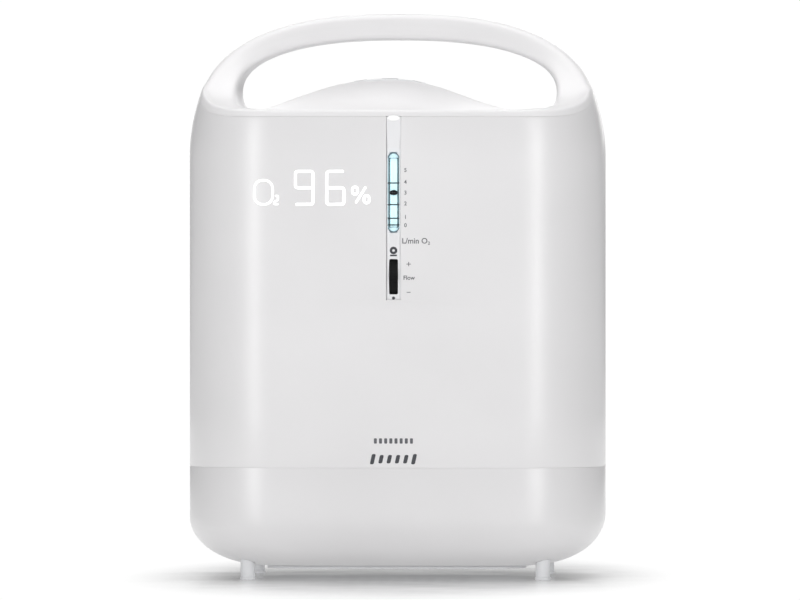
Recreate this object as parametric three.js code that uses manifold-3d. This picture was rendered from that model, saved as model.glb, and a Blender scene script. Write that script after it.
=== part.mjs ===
// A home oxygen concentrator: a rounded upright casing on short feet, with an arched carrying handle, a
// flow meter strip in its front, a humidifier bottle in a bay at its back, and the compressor, sieve beds
// and valves that make the oxygen inside. Millimetres, +Z up, the front faces -Y, and the origin is on the
// floor under the middle.
import * as THREE from "three";
import { mergeVertices } from "three/addons/utils/BufferGeometryUtils.js";
import Module from "manifold-3d";

const wasm = await Module();
wasm.setup();

// ---------------------------------------------------------------- driving dimensions

const WIDTH = 365; // casing, side to side
const DEPTH = 245; // casing, front to back
const HEIGHT = 498; // floor to the top of the handle
const CORNER = 78; // plan radius of the casing's upright edges
const WALL = 3;
const GAP = 0.3; // clearance between separate pieces

const UNDERSIDE = 12; // floor to the casing's flat bottom
const SEAM = 98.7; // floor to the line between the base shell and the upper shells
const RIM = 406; // floor to the front edge of the shells' open top
const CUT = 445; // shells are drawn up to here before their top is cut to the rim

const FRONT = -DEPTH / 2;
const BACK = DEPTH / 2;
const SIDE = WIDTH / 2;

// The casing's lower edge is a quarter ellipse in elevation, wider than it is high.
const EDGE = { rise: 42, across: 66, along: 44 };
// Above this height the walls lean in, by LEAN times the square of the height above it.
const LEAN_START = 373;
const LEAN = 0.0032;

// The rim runs level along the front and the back and sweeps up at both sides to meet the handle.
const SWEEP = { start: 130, width: 42.8, rise: 22.1, power: 2.8 };

// The handle in front view: an outer and an inner superellipse, each with its own centre height.
const ARCH_OUT = { half: 177, rise: 103, foot: HEIGHT - 103, power: 2.5 };
const ARCH_IN = { half: 141, rise: 49, foot: HEIGHT - 72, power: 2.35 };
const GRIP_DEPTH = 21; // half the handle's depth at the top
const LEG_DEPTH = 60; // half its depth where the legs leave the casing

// The top cover: level at LEVEL, with a hill whose left side is fuller than its right.
const LEVEL = 412;
const HILL_SIDES = { left: 120, leftPower: 1.4, right: 130, rightPower: 2.6 };
const HILL = { rise: 29.5, x: -8, depth: 86, power: 1.5, ...HILL_SIDES };

const COARSE = 10; // facets of a round detail that is hidden
const SMALL = 12; // facets of a thin round piece
const ROUND = 18; // facets of a small round piece
const FINE = 24; // facets of a large round piece

// ---------------------------------------------------------------- solid helpers

const rad = THREE.MathUtils.degToRad;

// A closed geometry as a manifold-3d solid.
function solidOf(geometry) {
  const flat = geometry.index ? geometry.toNonIndexed() : geometry;
  const bare = new THREE.BufferGeometry().setAttribute("position", flat.getAttribute("position"));
  const merged = mergeVertices(bare, 1e-4);
  const vertProperties = merged.attributes.position.array;
  const triVerts = new Uint32Array(merged.index.array);
  return new wasm.Manifold(new wasm.Mesh({ numProp: 3, vertProperties, triVerts }));
}

// A manifold-3d solid as a geometry.
function geometryOf(solid) {
  const mesh = solid.getMesh();
  const geometry = new THREE.BufferGeometry();
  geometry.setAttribute("position", new THREE.BufferAttribute(mesh.vertProperties, 3));
  geometry.setIndex(new THREE.BufferAttribute(mesh.triVerts, 1));
  geometry.computeVertexNormals();
  return geometry;
}

const join = (first, ...rest) => rest.reduce((whole, piece) => whole.add(piece), first);
const cut = (first, ...rest) => rest.reduce((whole, piece) => whole.subtract(piece), first);

// A block between two corners.
function block([x0, y0, z0], [x1, y1, z1]) {
  const geometry = new THREE.BoxGeometry(x1 - x0, y1 - y0, z1 - z0);
  return solidOf(geometry.translate((x0 + x1) / 2, (y0 + y1) / 2, (z0 + z1) / 2));
}

// A round bar from a point, along one axis.
function bar(axis, radius, length, [x, y, z], { end = radius, sides = ROUND } = {}) {
  const geometry = new THREE.CylinderGeometry(end, radius, length, sides).translate(0, length / 2, 0);
  if (axis === "x") geometry.rotateZ(-Math.PI / 2);
  if (axis === "z") geometry.rotateX(Math.PI / 2);
  return solidOf(geometry.translate(x, y, z));
}

// A solid turned about Z from a closed profile of [radius, height] pairs that runs anticlockwise.
function turned(profile, sides = ROUND) {
  const points = profile.map(([radius, height]) => new THREE.Vector2(radius, height));
  return solidOf(new THREE.LatheGeometry(points, sides).rotateX(Math.PI / 2));
}

// A flat outline given thickness along one axis. Its pairs are [y, z] along x, [x, z] along y and
// [x, y] along z.
function slab(axis, outline, from, to) {
  const shape = new THREE.Shape(outline.map(([u, v]) => new THREE.Vector2(u, v)));
  const geometry = new THREE.ExtrudeGeometry(shape, { depth: to - from, bevelEnabled: false });
  if (axis === "y") geometry.translate(0, 0, -to).rotateX(Math.PI / 2);
  else geometry.translate(0, 0, from);
  const [alongX, alongY, alongZ] = [[1, 0, 0], [0, 1, 0], [0, 0, 1]].map((v) => new THREE.Vector3(...v));
  if (axis === "x") geometry.applyMatrix4(new THREE.Matrix4().makeBasis(alongY, alongZ, alongX));
  return solidOf(geometry);
}

// A solid through a row of rings that all have the same number of points, closed by a fan at each end.
function loft(rings) {
  const count = rings[0].length;
  const centre = (ring) => ring.reduce((sum, p) => sum.add(p), new THREE.Vector3()).divideScalar(count);
  const corners = [];
  const face = (...points) => points.forEach((p) => corners.push(p.x, p.y, p.z));
  const first = centre(rings[0]);
  const last = centre(rings.at(-1));
  for (let i = 0; i < count; i++) {
    const j = (i + 1) % count;
    face(first, rings[0][j], rings[0][i]);
    face(last, rings.at(-1)[i], rings.at(-1)[j]);
    for (let k = 0; k + 1 < rings.length; k++) {
      face(rings[k][i], rings[k][j], rings[k + 1][j]);
      face(rings[k][i], rings[k + 1][j], rings[k + 1][i]);
    }
  }
  const positions = new THREE.Float32BufferAttribute(corners, 3);
  return solidOf(new THREE.BufferGeometry().setAttribute("position", positions));
}

// A named piece of the model.
function piece(name, solid, finish, [x, y, z] = [0, 0, 0]) {
  const mesh = new THREE.Mesh(geometryOf(solid), new THREE.MeshStandardMaterial(finish));
  mesh.name = name;
  mesh.position.set(x, y, z);
  return mesh;
}

function group(place, ...members) {
  const made = new THREE.Group();
  made.position.set(...place);
  made.add(...members);
  return made;
}

// ---------------------------------------------------------------- the casing's outer form

// One point of a superellipse at an angle, as [across, up].
function superPoint({ half, rise, foot, power }, degrees) {
  const bend = (v) => Math.sign(v) * Math.abs(v) ** (2 / power);
  return [half * bend(Math.cos(rad(degrees))), foot + rise * bend(Math.sin(rad(degrees)))];
}

// A rounded rectangle in plan, anticlockwise from above.
function planRing(halfWidth, halfDepth, radius, z, steps = 5) {
  const points = [];
  const corners = [[1, -1, -90], [1, 1, 0], [-1, 1, 90], [-1, -1, 180]];
  for (const [sx, sy, start] of corners)
    for (let i = 0; i <= steps; i++) {
      const turn = rad(start + (90 * i) / steps);
      const x = sx * (halfWidth - radius) + radius * Math.cos(turn);
      const y = sy * (halfDepth - radius) + radius * Math.sin(turn);
      points.push(new THREE.Vector3(x, y, z));
    }
  return points;
}

// The casing's ring at a height on its walls, drawn in by a thickness.
function wallRing(z, inner = 0) {
  const inset = LEAN * Math.max(0, z - LEAN_START) ** 2 + inner;
  return planRing(SIDE - inset, BACK - inset, CORNER - inset, z);
}

// The casing's ring on its rounded lower edge: 0 degrees where the wall starts, 90 at the flat underside.
function edgeRing(degrees, inner = 0) {
  const c = Math.cos(rad(degrees));
  const s = Math.sin(rad(degrees));
  const normal = new THREE.Vector2(EDGE.rise * c, EDGE.across * s).normalize();
  const across = EDGE.across * (1 - c) + inner * normal.x;
  const along = EDGE.along * (1 - c) + inner * normal.x;
  const z = UNDERSIDE + EDGE.rise * (1 - s) + inner * normal.y;
  return planRing(SIDE - across, BACK - along, CORNER - along, z);
}

// The whole casing as one filled body, drawn in by a thickness and cut off level at a height.
function casing(inner, top) {
  const edge = [90, 76, 60, 42, 22, 0].map((degrees) => edgeRing(degrees, inner));
  const walls = [LEAN_START, 392, 408, 422, 434].map((z) => wallRing(z, inner));
  return loft([...edge, ...walls, wallRing(top, inner)]);
}

// Height of the rim over the front view's width.
function rimHeight(x) {
  const t = Math.min(1, Math.max(0, (Math.abs(x) - SWEEP.start) / SWEEP.width));
  return RIM + SWEEP.rise * (1 - (1 - t ** SWEEP.power) ** (1 / SWEEP.power));
}

// Everything above the rim, as one block cut along the rim's line.
function aboveRim() {
  const sweep = [0, 18, 36, 50, 62, 72, 81, 90].map((degrees) => {
    const x = SWEEP.start + SWEEP.width * Math.sin(rad(degrees)) ** (2 / SWEEP.power);
    return [x, rimHeight(x)];
  });
  const outer = [[WIDTH, RIM + SWEEP.rise], [WIDTH, HEIGHT]];
  const right = [...sweep, ...outer];
  const left = right.map(([x, z]) => [-x, z]).reverse();
  return slab("y", [...left, ...right], -DEPTH, DEPTH);
}

// The upper casing's wall as a tube, from the seam to the rim.
function upperWall() {
  const tube = cut(casing(0, CUT), casing(WALL, CUT + WALL));
  const below = block([-WIDTH, -DEPTH, -WALL], [WIDTH, DEPTH, SEAM + GAP]);
  return cut(tube, below, aboveRim());
}

// ---------------------------------------------------------------- casing pieces

const STRIP = { half: 6, face: 2.2, back: 12, bottom: 246.2, top: RIM - GAP }; // the flow meter strip
const FILTER = { x0: -103, x1: -25, z0: 236, z1: 364 }; // the filter door
const BAY = { x0: 14.3, x1: 115.7, z0: 212.3, z1: 395.7, y0: 30, wall: 2.6 }; // the humidifier bay
const INLET = { x0: -95, x1: -63, z0: 130, z1: 154 }; // the power inlet
const BREAKER = { x: -40, z: 142, radius: 4, length: 14 };
const EXHAUST = { x0: 8, x1: 104, z0: 122, z1: 188 };
const FEET = { x: 129.5, y: 80, radius: 7, height: 24 };
const POST = { x: 95, y: 60, radius: 6, height: 16 }; // screw posts that stand on the casing's floor
const PLATE = { half: 114, depth: 76, radius: 30, drop: 2.5 }; // the plate under the casing
const CUTTER = 40; // length of a tool that passes through a wall, half of it on each side

function frontShell() {
  const half = STRIP.half + GAP;
  const slot = block([-half, -DEPTH, STRIP.bottom - GAP], [half, FRONT + CUTTER / 2, HEIGHT]);
  const rear = block([-WIDTH, -GAP / 2, 0], [WIDTH, DEPTH, HEIGHT]);
  return cut(upperWall(), rear, slot);
}

// A hole through the back wall, a gap larger than the piece that fills it.
function backHole({ x0, x1, z0, z1 }) {
  return block([x0 - GAP, BACK - CUTTER / 2, z0 - GAP], [x1 + GAP, DEPTH, z1 + GAP]);
}

function rearShell() {
  const front = block([-WIDTH, -DEPTH, 0], [WIDTH, GAP / 2, HEIGHT]);
  const breaker = bar("y", BREAKER.radius + GAP, CUTTER, [BREAKER.x, BACK - CUTTER / 2, BREAKER.z]);
  return cut(upperWall(), front, ...[FILTER, BAY, INLET, EXHAUST].map(backHole), breaker);
}

function baseShell() {
  const tub = cut(casing(0, CUT), casing(WALL, CUT + WALL));
  const above = block([-WIDTH, -DEPTH, SEAM - GAP], [WIDTH, DEPTH, HEIGHT]);
  const posts = [-1, 1].flatMap((sx) =>
    [-1, 1].map((sy) => {
      const place = [sx * POST.x, sy * POST.y, UNDERSIDE + WALL / 2];
      return bar("z", POST.radius, POST.height, place, { sides: COARSE });
    }),
  );
  return join(cut(tub, above), ...posts);
}

// A foot stands under the rounded lower edge and is cut to its curve.
function foot(sx, sy) {
  const post = bar("z", FEET.radius, FEET.height, [sx * FEET.x, sy * FEET.y, 0]);
  return cut(post, casing(-GAP, CUT));
}

function basePlate() {
  const ring = (z) => planRing(PLATE.half, PLATE.depth, PLATE.radius, z);
  return loft([ring(UNDERSIDE - PLATE.drop), ring(UNDERSIDE - GAP)]);
}

// Height of the cover's upper face, without its edge: level with a hill, and swept up at the sides as the
// rim is.
function coverHeight(x, y) {
  const left = x < HILL.x;
  const across = (x - HILL.x) / (left ? HILL.left : HILL.right);
  const ridge = Math.max(0, 1 - across ** 2) ** (left ? HILL.leftPower : HILL.rightPower);
  const hill = HILL.rise * ridge * Math.max(0, 1 - (y / HILL.depth) ** 2) ** HILL.power;
  return LEVEL + hill + rimHeight(x) - RIM;
}

// The line where the cover meets the shells' outer face, found by halving the range of heights.
function rimRing() {
  return wallRing(RIM).map((_, i) => {
    let [low, high] = [RIM, RIM + SWEEP.rise];
    for (let pass = 0; pass < 16; pass++) {
      const middle = (low + high) / 2;
      if (middle > rimHeight(wallRing(middle)[i].x)) high = middle;
      else low = middle;
    }
    return wallRing(low)[i];
  });
}

// One ring of the cover's face at a share of the way from its middle to its edge.
function coverRing(share, drop = 0) {
  return rimRing().map((edge) => {
    const x = edge.x * share;
    const y = edge.y * share;
    const level = coverHeight(x, y);
    const climb = edge.z + WALL - level;
    const rounding = 1 - Math.sqrt(1 - Math.max(0, (share - 0.9) / 0.1) ** 2);
    const rise = THREE.MathUtils.smoothstep(share, 0.78, 0.93);
    return new THREE.Vector3(x, y, level + climb * (climb > 0 ? rise : rounding) - drop);
  });
}

// A ring at the cover's edge that rests on the shells' rim.
function seatRing(share) {
  return rimRing().map((edge) => new THREE.Vector3(edge.x * share, edge.y * share, edge.z + GAP));
}

// One cross-section of the handle, from a point of its outer line, a point of its inner line and its half
// depth.
function archRing([outX, outZ], [inX, inZ], halfDepth) {
  const count = 12;
  return Array.from({ length: count }, (_, i) => {
    const [u, y] = superPoint({ half: 1, rise: halfDepth, foot: 0, power: 3 }, (360 * i) / count);
    const x = (outX + inX) / 2 + (u * (outX - inX)) / 2;
    const z = (outZ + inZ) / 2 + (u * (outZ - inZ)) / 2;
    return new THREE.Vector3(x, y, z);
  });
}

// The foot of one leg, sunk into the cover.
function legRoot(side) {
  const outer = [side * (SIDE - 11), RIM + SWEEP.rise + 1];
  const inner = [side * (ARCH_IN.half - 2), LEVEL - 2];
  return archRing(outer, inner, LEG_DEPTH);
}

function handleArch() {
  const start = 15.4; // degrees on the outer line where the leg leaves the rim
  const rings = [];
  for (let turn = 0; turn <= 180; turn += 10) {
    const outer = superPoint(ARCH_OUT, start + (turn * (180 - 2 * start)) / 180);
    const inner = superPoint(ARCH_IN, turn);
    const share = (outer[1] - RIM - SWEEP.rise) / (HEIGHT - RIM - SWEEP.rise);
    const halfDepth = GRIP_DEPTH + (LEG_DEPTH - GRIP_DEPTH) * Math.max(0, 1 - share) ** 2.5;
    rings.push(archRing(outer, inner, halfDepth));
  }
  return loft([legRoot(1), ...rings.slice(1, -1), legRoot(-1)]);
}

function handleCover() {
  const under = [0.25, 0.5, 0.7, 0.84, 0.955].map((share) => coverRing(share, WALL));
  const top = [0.985, 0.95, 0.9, 0.84, 0.76, 0.64, 0.5, 0.35, 0.2].map((share) => coverRing(share));
  const lip = rimRing().map((edge) => edge.add(new THREE.Vector3(0, 0, WALL / 2)));
  const skin = loft([...under, seatRing(0.972), seatRing(1), lip, ...top]);
  return cut(join(skin, handleArch()), panelPrism(GAP));
}

// ---------------------------------------------------------------- control panel on the hill

const PANEL = { x: HILL.x, half: 46, depth: 20, thick: 3, power: 7.4, timer: 6, apart: 26, travel: 1 };
const BOARD = { x0: -58, x1: 42, half: 18, bottom: 420, top: 421.6 }; // the circuit board under the panel
const BUTTON = { height: 9.2, flange: 1.5, flangeDrop: 8, lip: 2, stem: 1.6, stemTop: 8.4 };

function ellipse(share, grow, heightAt) {
  const count = 20;
  return Array.from({ length: count }, (_, i) => {
    const x = PANEL.x + (PANEL.half + grow) * share * Math.cos(rad((360 * i) / count));
    const y = (PANEL.depth + grow) * share * Math.sin(rad((360 * i) / count));
    return new THREE.Vector3(x, y, heightAt(x, y));
  });
}

function panelPrism(grow) {
  return loft([ellipse(1, grow, () => LEVEL), ellipse(1, grow, () => LEVEL + HILL.rise + WALL)]);
}

function controlPanel() {
  const upper = (x, y) => coverHeight(x, y) - GAP;
  const lower = (x, y) => upper(x, y) - PANEL.thick;
  const under = [0.55, 1].map((share) => ellipse(share, 0, lower));
  const face = [1, 0.55].map((share) => ellipse(share, 0, upper));
  const buttons = [-1, 0, 1].map((step) => {
    const radius = (step ? PANEL.timer : PANEL.power) + GAP;
    return bar("z", radius, HEIGHT - LEVEL, [PANEL.x + step * PANEL.apart, 0, LEVEL]);
  });
  return cut(loft([...under, ...face]), ...buttons);
}

// A push button: a cap level with the panel, on a flange under it, with a stem that reaches the board.
function panelButton(step) {
  const radius = step ? PANEL.timer : PANEL.power;
  const surface = coverHeight(PANEL.x + step * PANEL.apart, 0);
  const foot = BOARD.top + PANEL.travel + 2 * GAP;
  const cap = bar("z", radius, BUTTON.height, [0, 0, surface - BUTTON.height]);
  const flange = bar("z", radius + BUTTON.lip, BUTTON.flange, [0, 0, surface - BUTTON.flangeDrop]);
  const stem = bar("z", BUTTON.stem, surface - BUTTON.stemTop - foot, [0, 0, foot], { sides: COARSE });
  return join(cap, flange, stem);
}

function controlBoard() {
  return block([BOARD.x0, -BOARD.half, BOARD.bottom], [BOARD.x1, BOARD.half, BOARD.top]);
}

// ---------------------------------------------------------------- flow meter, in a group at the front face

const TUBE = { y: 6.1, outer: 4.85, bore: 4.05, bottom: 309, top: 372.8 };
const PLUG = { collar: 4, spigotTop: 2, spigotBottom: 0.8, sunk: 1 }; // the plugs at the tube's two ends
const FLOAT = { radius: 3.75, height: 5, rest: 339.4 };
const WHEEL = { radius: 20, half: 3.4, y: 20.4, z: 266.8, teeth: 20, tooth: 0.9, axle: 2.6, spindle: 11 };
const WINDOW = { half: 3.8, bottom: 251.4, top: 282.2, skin: 2.8 };

function flowBezel() {
  const { half, face, back, bottom, top } = STRIP;
  const grooveRadius = TUBE.outer + GAP;
  const grooveBottom = TUBE.bottom - PLUG.collar - 2 * GAP;
  const grooveTop = TUBE.top + PLUG.collar + 2 * GAP;
  const strip = block([-half, face, bottom], [half, back, top]);
  const groove = bar("z", grooveRadius, grooveTop - grooveBottom, [0, TUBE.y, grooveBottom]);
  const mouth = block([-grooveRadius, 0, grooveBottom], [grooveRadius, TUBE.y, grooveTop]);
  const opening = block([-WINDOW.half, 0, WINDOW.bottom], [WINDOW.half, back + 1, WINDOW.top]);
  const pocketTop = WHEEL.z + WHEEL.radius + 1;
  const pocket = block([-half - 1, face + WINDOW.skin, 0], [half + 1, back + 1, pocketTop]);
  return cut(strip, groove, mouth, opening, pocket);
}

function flowTube() {
  const length = TUBE.top - TUBE.bottom;
  const tube = bar("z", TUBE.outer, length, [0, 0, TUBE.bottom]);
  return cut(tube, bar("z", TUBE.bore, length + 2, [0, 0, TUBE.bottom - 1]));
}

// A double cone with rounded shoulders.
function flowFloat() {
  const { radius, height } = FLOAT;
  const [shoulder, rise] = [radius * 0.6, height * 0.42];
  const profile = [[0, -height / 2], [shoulder, -rise], [radius, 0], [shoulder, rise]];
  return turned([...profile, [0, height / 2]], 16);
}

// A plug that closes one end of the tube: a collar outside it and a spigot in its bore.
function tubePlug(up) {
  const { collar, spigotTop, spigotBottom, sunk } = PLUG;
  const outside = bar("z", TUBE.outer, collar, [0, 0, up ? GAP : -collar - GAP]);
  const reach = up ? spigotTop : spigotBottom;
  const spigot = bar("z", TUBE.bore - GAP, reach + sunk, [0, 0, up ? -reach : -sunk]);
  return join(outside, spigot);
}

function thumbwheel() {
  const { radius, teeth, tooth, half, axle, spindle } = WHEEL;
  const rim = Array.from({ length: teeth * 4 }, (_, i) => {
    const reach = i % 4 < 2 ? radius : radius - tooth;
    const turn = rad((360 * (i + 0.5)) / (teeth * 4));
    return [reach * Math.cos(turn), reach * Math.sin(turn)];
  });
  return join(slab("x", rim, -half, half), bar("x", axle, spindle, [half - 0.5, 0, 0], { sides: SMALL }));
}

const NEEDLE = { x: 15.5, radius: 2.2, shank: 6, cone: 5, tip: 0.6 };
const VALVE_BODY = { x0: 9, x1: 36, half: 8, bore: 3.2, boreEnd: 29, seat: 1 };
const HOSE_TAIL = { radius: 3, x: 31, length: 10 };

// The valve block behind the strip, with a bore for the wheel's spindle and the needle, and a hose tail.
function valveBody() {
  const { x0, x1, half, bore, boreEnd, seat } = VALVE_BODY;
  const body = block([x0, WHEEL.y - half, -half], [x1, WHEEL.y + half, half]);
  const { radius, x, length } = HOSE_TAIL;
  const hoseTail = bar("z", radius, length, [x, WHEEL.y, 1 - half - length], { sides: SMALL });
  const wide = bar("x", bore, boreEnd - x0 + 1, [x0 - 1, WHEEL.y, 0], { sides: SMALL });
  const narrow = bar("x", seat, x1 - boreEnd + 3, [boreEnd - 1, WHEEL.y, 0], { sides: SMALL });
  return cut(join(body, hoseTail), wide, narrow);
}

function valveNeedle() {
  const { radius, shank, cone, tip } = NEEDLE;
  const point = bar("x", radius, cone, [shank - 0.5, 0, 0], { end: tip, sides: SMALL });
  return join(bar("x", radius, shank, [0, 0, 0], { sides: SMALL }), point);
}

// ---------------------------------------------------------------- display, in a group at the front face

const DISPLAY = { x0: -126, x1: -20, y: 6.8, z0: 318, z1: 370, thick: 4.2, board: 1.6, border: 6 };
const LIT = { z0: 326, z1: 362, spans: [[-122, -98], [-89, -68], [-62, -41], [-37, -23]] }; // light wells

function displayDiffuser() {
  const { x0, x1, y, z0, z1, thick } = DISPLAY;
  const plate = block([x0, y, z0], [x1, y + thick, z1]);
  const wells = LIT.spans.map(([from, to]) => block([from, y - 1, LIT.z0], [to, y + thick + 1, LIT.z1]));
  return cut(plate, ...wells);
}

function displayBoard() {
  const { x0, x1, z0, z1, thick, board, border } = DISPLAY;
  const y = DISPLAY.y + thick + GAP;
  return block([x0 - 1.5, y, z0 - border], [x1 + border, y + board, z1 + border]);
}

// ---------------------------------------------------------------- back, in a group at the back face

const PANE = 3; // thickness of the door and the grille
const DOOR_SLOTS = { count: 8, side: 10, end: 22, half: 2.5 };
const GRILLE_SLOTS = { count: 7, side: 8, end: 9, half: 2 };
const FOAM_PAD = { side: 5, end: 6, thick: 10.2 };
const INTAKE = { x: -64, y: -46, z: 300, radius: 24, length: 30 };
const SOCKET = { depth: 26, hollow: 20, wall: 3 };
const PIN = { x: 7, z: 1.5, earthZ: -2.5, half: 1, halfHeight: 2.5, tip: 5 };

// A plate in the back wall with a row of level slots.
function slottedPane({ x0, x1, z0, z1 }, { count, side, end, half }) {
  const plate = block([x0, -PANE, z0], [x1, -GAP, z1]);
  const slots = Array.from({ length: count }, (_, i) => {
    const z = z0 + end + (i * (z1 - z0 - 2 * end)) / (count - 1);
    return block([x0 + side, -PANE - 1, z - half], [x1 - side, 1, z + half]);
  });
  return cut(plate, ...slots);
}

function filterFoam() {
  const { side, end, thick } = FOAM_PAD;
  const back = -PANE - GAP;
  return block([FILTER.x0 + side, back - thick, FILTER.z0 + end], [FILTER.x1 - side, back, FILTER.z1 - end]);
}

// A recessed appliance inlet with three flat pins.
function powerInlet() {
  const { x0, x1, z0, z1 } = INLET;
  const { depth, hollow, wall } = SOCKET;
  const body = block([x0, -depth, z0], [x1, -GAP, z1]);
  const recess = block([x0 + wall, -hollow, z0 + wall], [x1 - wall, 1, z1 - wall]);
  const pins = [[-PIN.x, PIN.z], [0, PIN.earthZ], [PIN.x, PIN.z]].map(([x, z]) => {
    const low = [(x0 + x1) / 2 + x - PIN.half, -hollow - 1, (z0 + z1) / 2 + z - PIN.halfHeight];
    const high = [(x0 + x1) / 2 + x + PIN.half, -PIN.tip, (z0 + z1) / 2 + z + PIN.halfHeight];
    return block(low, high);
  });
  return join(cut(body, recess), ...pins);
}

function intakeFilter() {
  return bar("y", INTAKE.radius, INTAKE.length, [0, 0, 0], { sides: FINE });
}

function breakerButton() {
  return bar("y", BREAKER.radius, BREAKER.length, [0, -BREAKER.length - GAP, 0]);
}

function bottleBay() {
  const { x0, x1, z0, z1, y0, wall } = BAY;
  const liner = block([x0, y0, z0], [x1, BACK - WALL / 2, z1]);
  return cut(liner, block([x0 + wall, y0 + wall, z0 + wall], [x1 - wall, DEPTH, z1 - wall]));
}

// ---------------------------------------------------------------- humidifier, in a group at its foot

const PLACE = [65, 75, 215.4]; // the middle of the bottle's foot
const BOTTLE = { radius: 39, wall: 2, floor: 2.5, shoulder: 112, neck: 32, mouth: 130 };
const LID = { radius: 33, thick: 5, dome: 20, domeTop: 15, domeHeight: 10 };
const PORT = { z: 17, radius: 5, riser: 7, bore: 2.2 };
const OUTLET = { x: 12, y: 8, z: 14, bore: 2.3 };
const COLLAR = { ribs: 24, outer: 38, valley: 37, skirt: 33.6, mouth: 25, drop: 16, rise: 8.6, inside: 5.6 };
const DIFFUSER = { radius: 3, bottom: 17, length: 112, stone: 6, stoneBottom: 5, stoneLength: 15 };

function humidifierBottle() {
  const { radius, wall, floor, shoulder, neck, mouth } = BOTTLE;
  const foot = [[0, 0], [radius - 3, 0], [radius, 3]];
  const outside = [...foot, [radius, shoulder - 8], [neck, shoulder], [neck, mouth]];
  const throat = [[neck - wall, mouth], [neck - wall, shoulder - 1]];
  const inside = [...throat, [radius - wall, shoulder - 9], [radius - wall, 3]];
  return turned([...outside, ...inside, [0, floor]], FINE);
}

// The lid: a disc on the bottle's mouth, a dome, and a port that faces the bay's back wall.
function bottleLid() {
  const { radius, thick, dome, domeTop, domeHeight } = LID;
  const top = BOTTLE.mouth + GAP;
  const portEnd = BAY.y0 + WALL - PLACE[1];
  const disc = bar("z", radius, thick, [0, 0, top], { sides: FINE });
  const crown = bar("z", dome, domeHeight, [0, 0, top + thick - 1], { end: domeTop, sides: FINE });
  const arm = bar("y", PORT.radius, -portEnd - PORT.radius + 2, [0, portEnd, top + PORT.z]);
  const tower = bar("z", PORT.riser, domeHeight, [0, 0, top + PORT.z - PORT.radius]);
  const down = bar("z", PORT.bore, PORT.z + 2, [0, 0, top - 1], { sides: COARSE });
  const start = [0, portEnd - PORT.riser, top + PORT.z];
  const across = bar("y", PORT.bore, PORT.riser - portEnd + 1, start, { sides: COARSE });
  const outlet = bar("z", OUTLET.bore, PORT.z + 3, [OUTLET.x, OUTLET.y, top - 1], { sides: COARSE });
  return cut(join(disc, crown, arm, tower), down, across, outlet);
}

// The ring that screws the lid down: a ribbed skirt with a flange over the lid's rim.
function bottleCollar() {
  const { ribs, outer, valley, skirt, mouth, drop, rise, inside } = COLLAR;
  const z = BOTTLE.mouth;
  const outline = Array.from({ length: ribs * 2 }, (_, i) => {
    const reach = i % 2 ? outer : valley;
    const turn = rad((180 * i) / ribs);
    return [reach * Math.cos(turn), reach * Math.sin(turn)];
  });
  const hollow = bar("z", skirt, drop + inside + 1, [0, 0, z - drop - 1], { sides: FINE });
  const hole = bar("z", mouth, drop + rise + 10, [0, 0, z - drop - 1], { sides: FINE });
  return cut(slab("z", outline, z - drop, z + rise), hollow, hole);
}

// The tube that carries the gas to the bottom of the water, with a porous end.
function diffuserTube() {
  const { radius, bottom, length, stone, stoneBottom, stoneLength } = DIFFUSER;
  const tube = bar("z", radius, length, [0, 0, bottom], { sides: SMALL });
  return join(tube, bar("z", stone, stoneLength, [0, 0, stoneBottom], { sides: SMALL }));
}

// The outlet for the patient's tube: a spigot with barbs.
function outletNozzle() {
  const foot = [[0, 0], [4.4, 0], [4.4, 3], [2.6, 3]];
  const barbs = [[3.2, 8], [2.5, 13], [3.1, 13.2], [2.2, 19]];
  return turned([...foot, ...barbs, [1, 19], [1, 1], [0, 1]], SMALL);
}

// ---------------------------------------------------------------- compressor, in a group on its shaft's axis

const SHAFT_Z = 96;
const CRANK = { x: 65, throw: 4, pin: 14, pinLength: 12, radius: 6.5, length: 160 };
const ROTOR = { radius: 24, length: 56 };
const CYLINDER = { bore: 27.5, outer: 33, foot: 46, top: 70 };
const PISTON = { radius: 22.5, crown: 54, thick: 8, ring: 20, ringLength: 11, rodX: 4, rodY: 6 };
const BARREL = { radius: 46, half: 92, boss: 36, hollow: 39, motor: 42, wall: 6 };
const BASE = { half: 82, depth: 52, bottom: -50, top: -43 }; // the compressor's mounting pads
const STATOR = { radius: 38.6, bore: 25, length: 60 };
const HEAD = { radius: 35, thick: 7, fins: 5, pitch: 12, fin: 1.5, reach: 26, top: 17 };

function compressorHousing() {
  const { radius, half, boss, hollow, motor, wall } = BARREL;
  const round = { sides: FINE };
  const ends = [-CRANK.x, CRANK.x];
  const caseLength = half - motor - wall + WALL;
  const barrel = bar("x", radius, 2 * half, [-half, 0, 0], round);
  const bosses = ends.map((x) => bar("z", boss, CYLINDER.foot, [x, 0, 0], round));
  const pads = block([-BASE.half, -BASE.depth, BASE.bottom], [BASE.half, BASE.depth, BASE.top]);
  const motorRoom = bar("x", hollow, 2 * motor, [-motor, 0, 0], round);
  const crankcases = [-half - WALL, motor + wall].map((x) => bar("x", hollow, caseLength, [x, 0, 0], round));
  const bearings = bar("x", CRANK.radius + 0.5, 2 * motor + 26, [-motor - 13, 0, 0]);
  const bores = ends.map((x) => bar("z", CYLINDER.bore, CYLINDER.foot + 14, [x, 0, 0], round));
  return cut(join(barrel, ...bosses, pads), motorRoom, ...crankcases, bearings, ...bores);
}

function motorStator() {
  const { radius, bore, length } = STATOR;
  const core = bar("x", radius, length, [-length / 2, 0, 0], { sides: FINE });
  return cut(core, bar("x", bore, length + 20, [-length / 2 - 10, 0, 0]));
}

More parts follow.
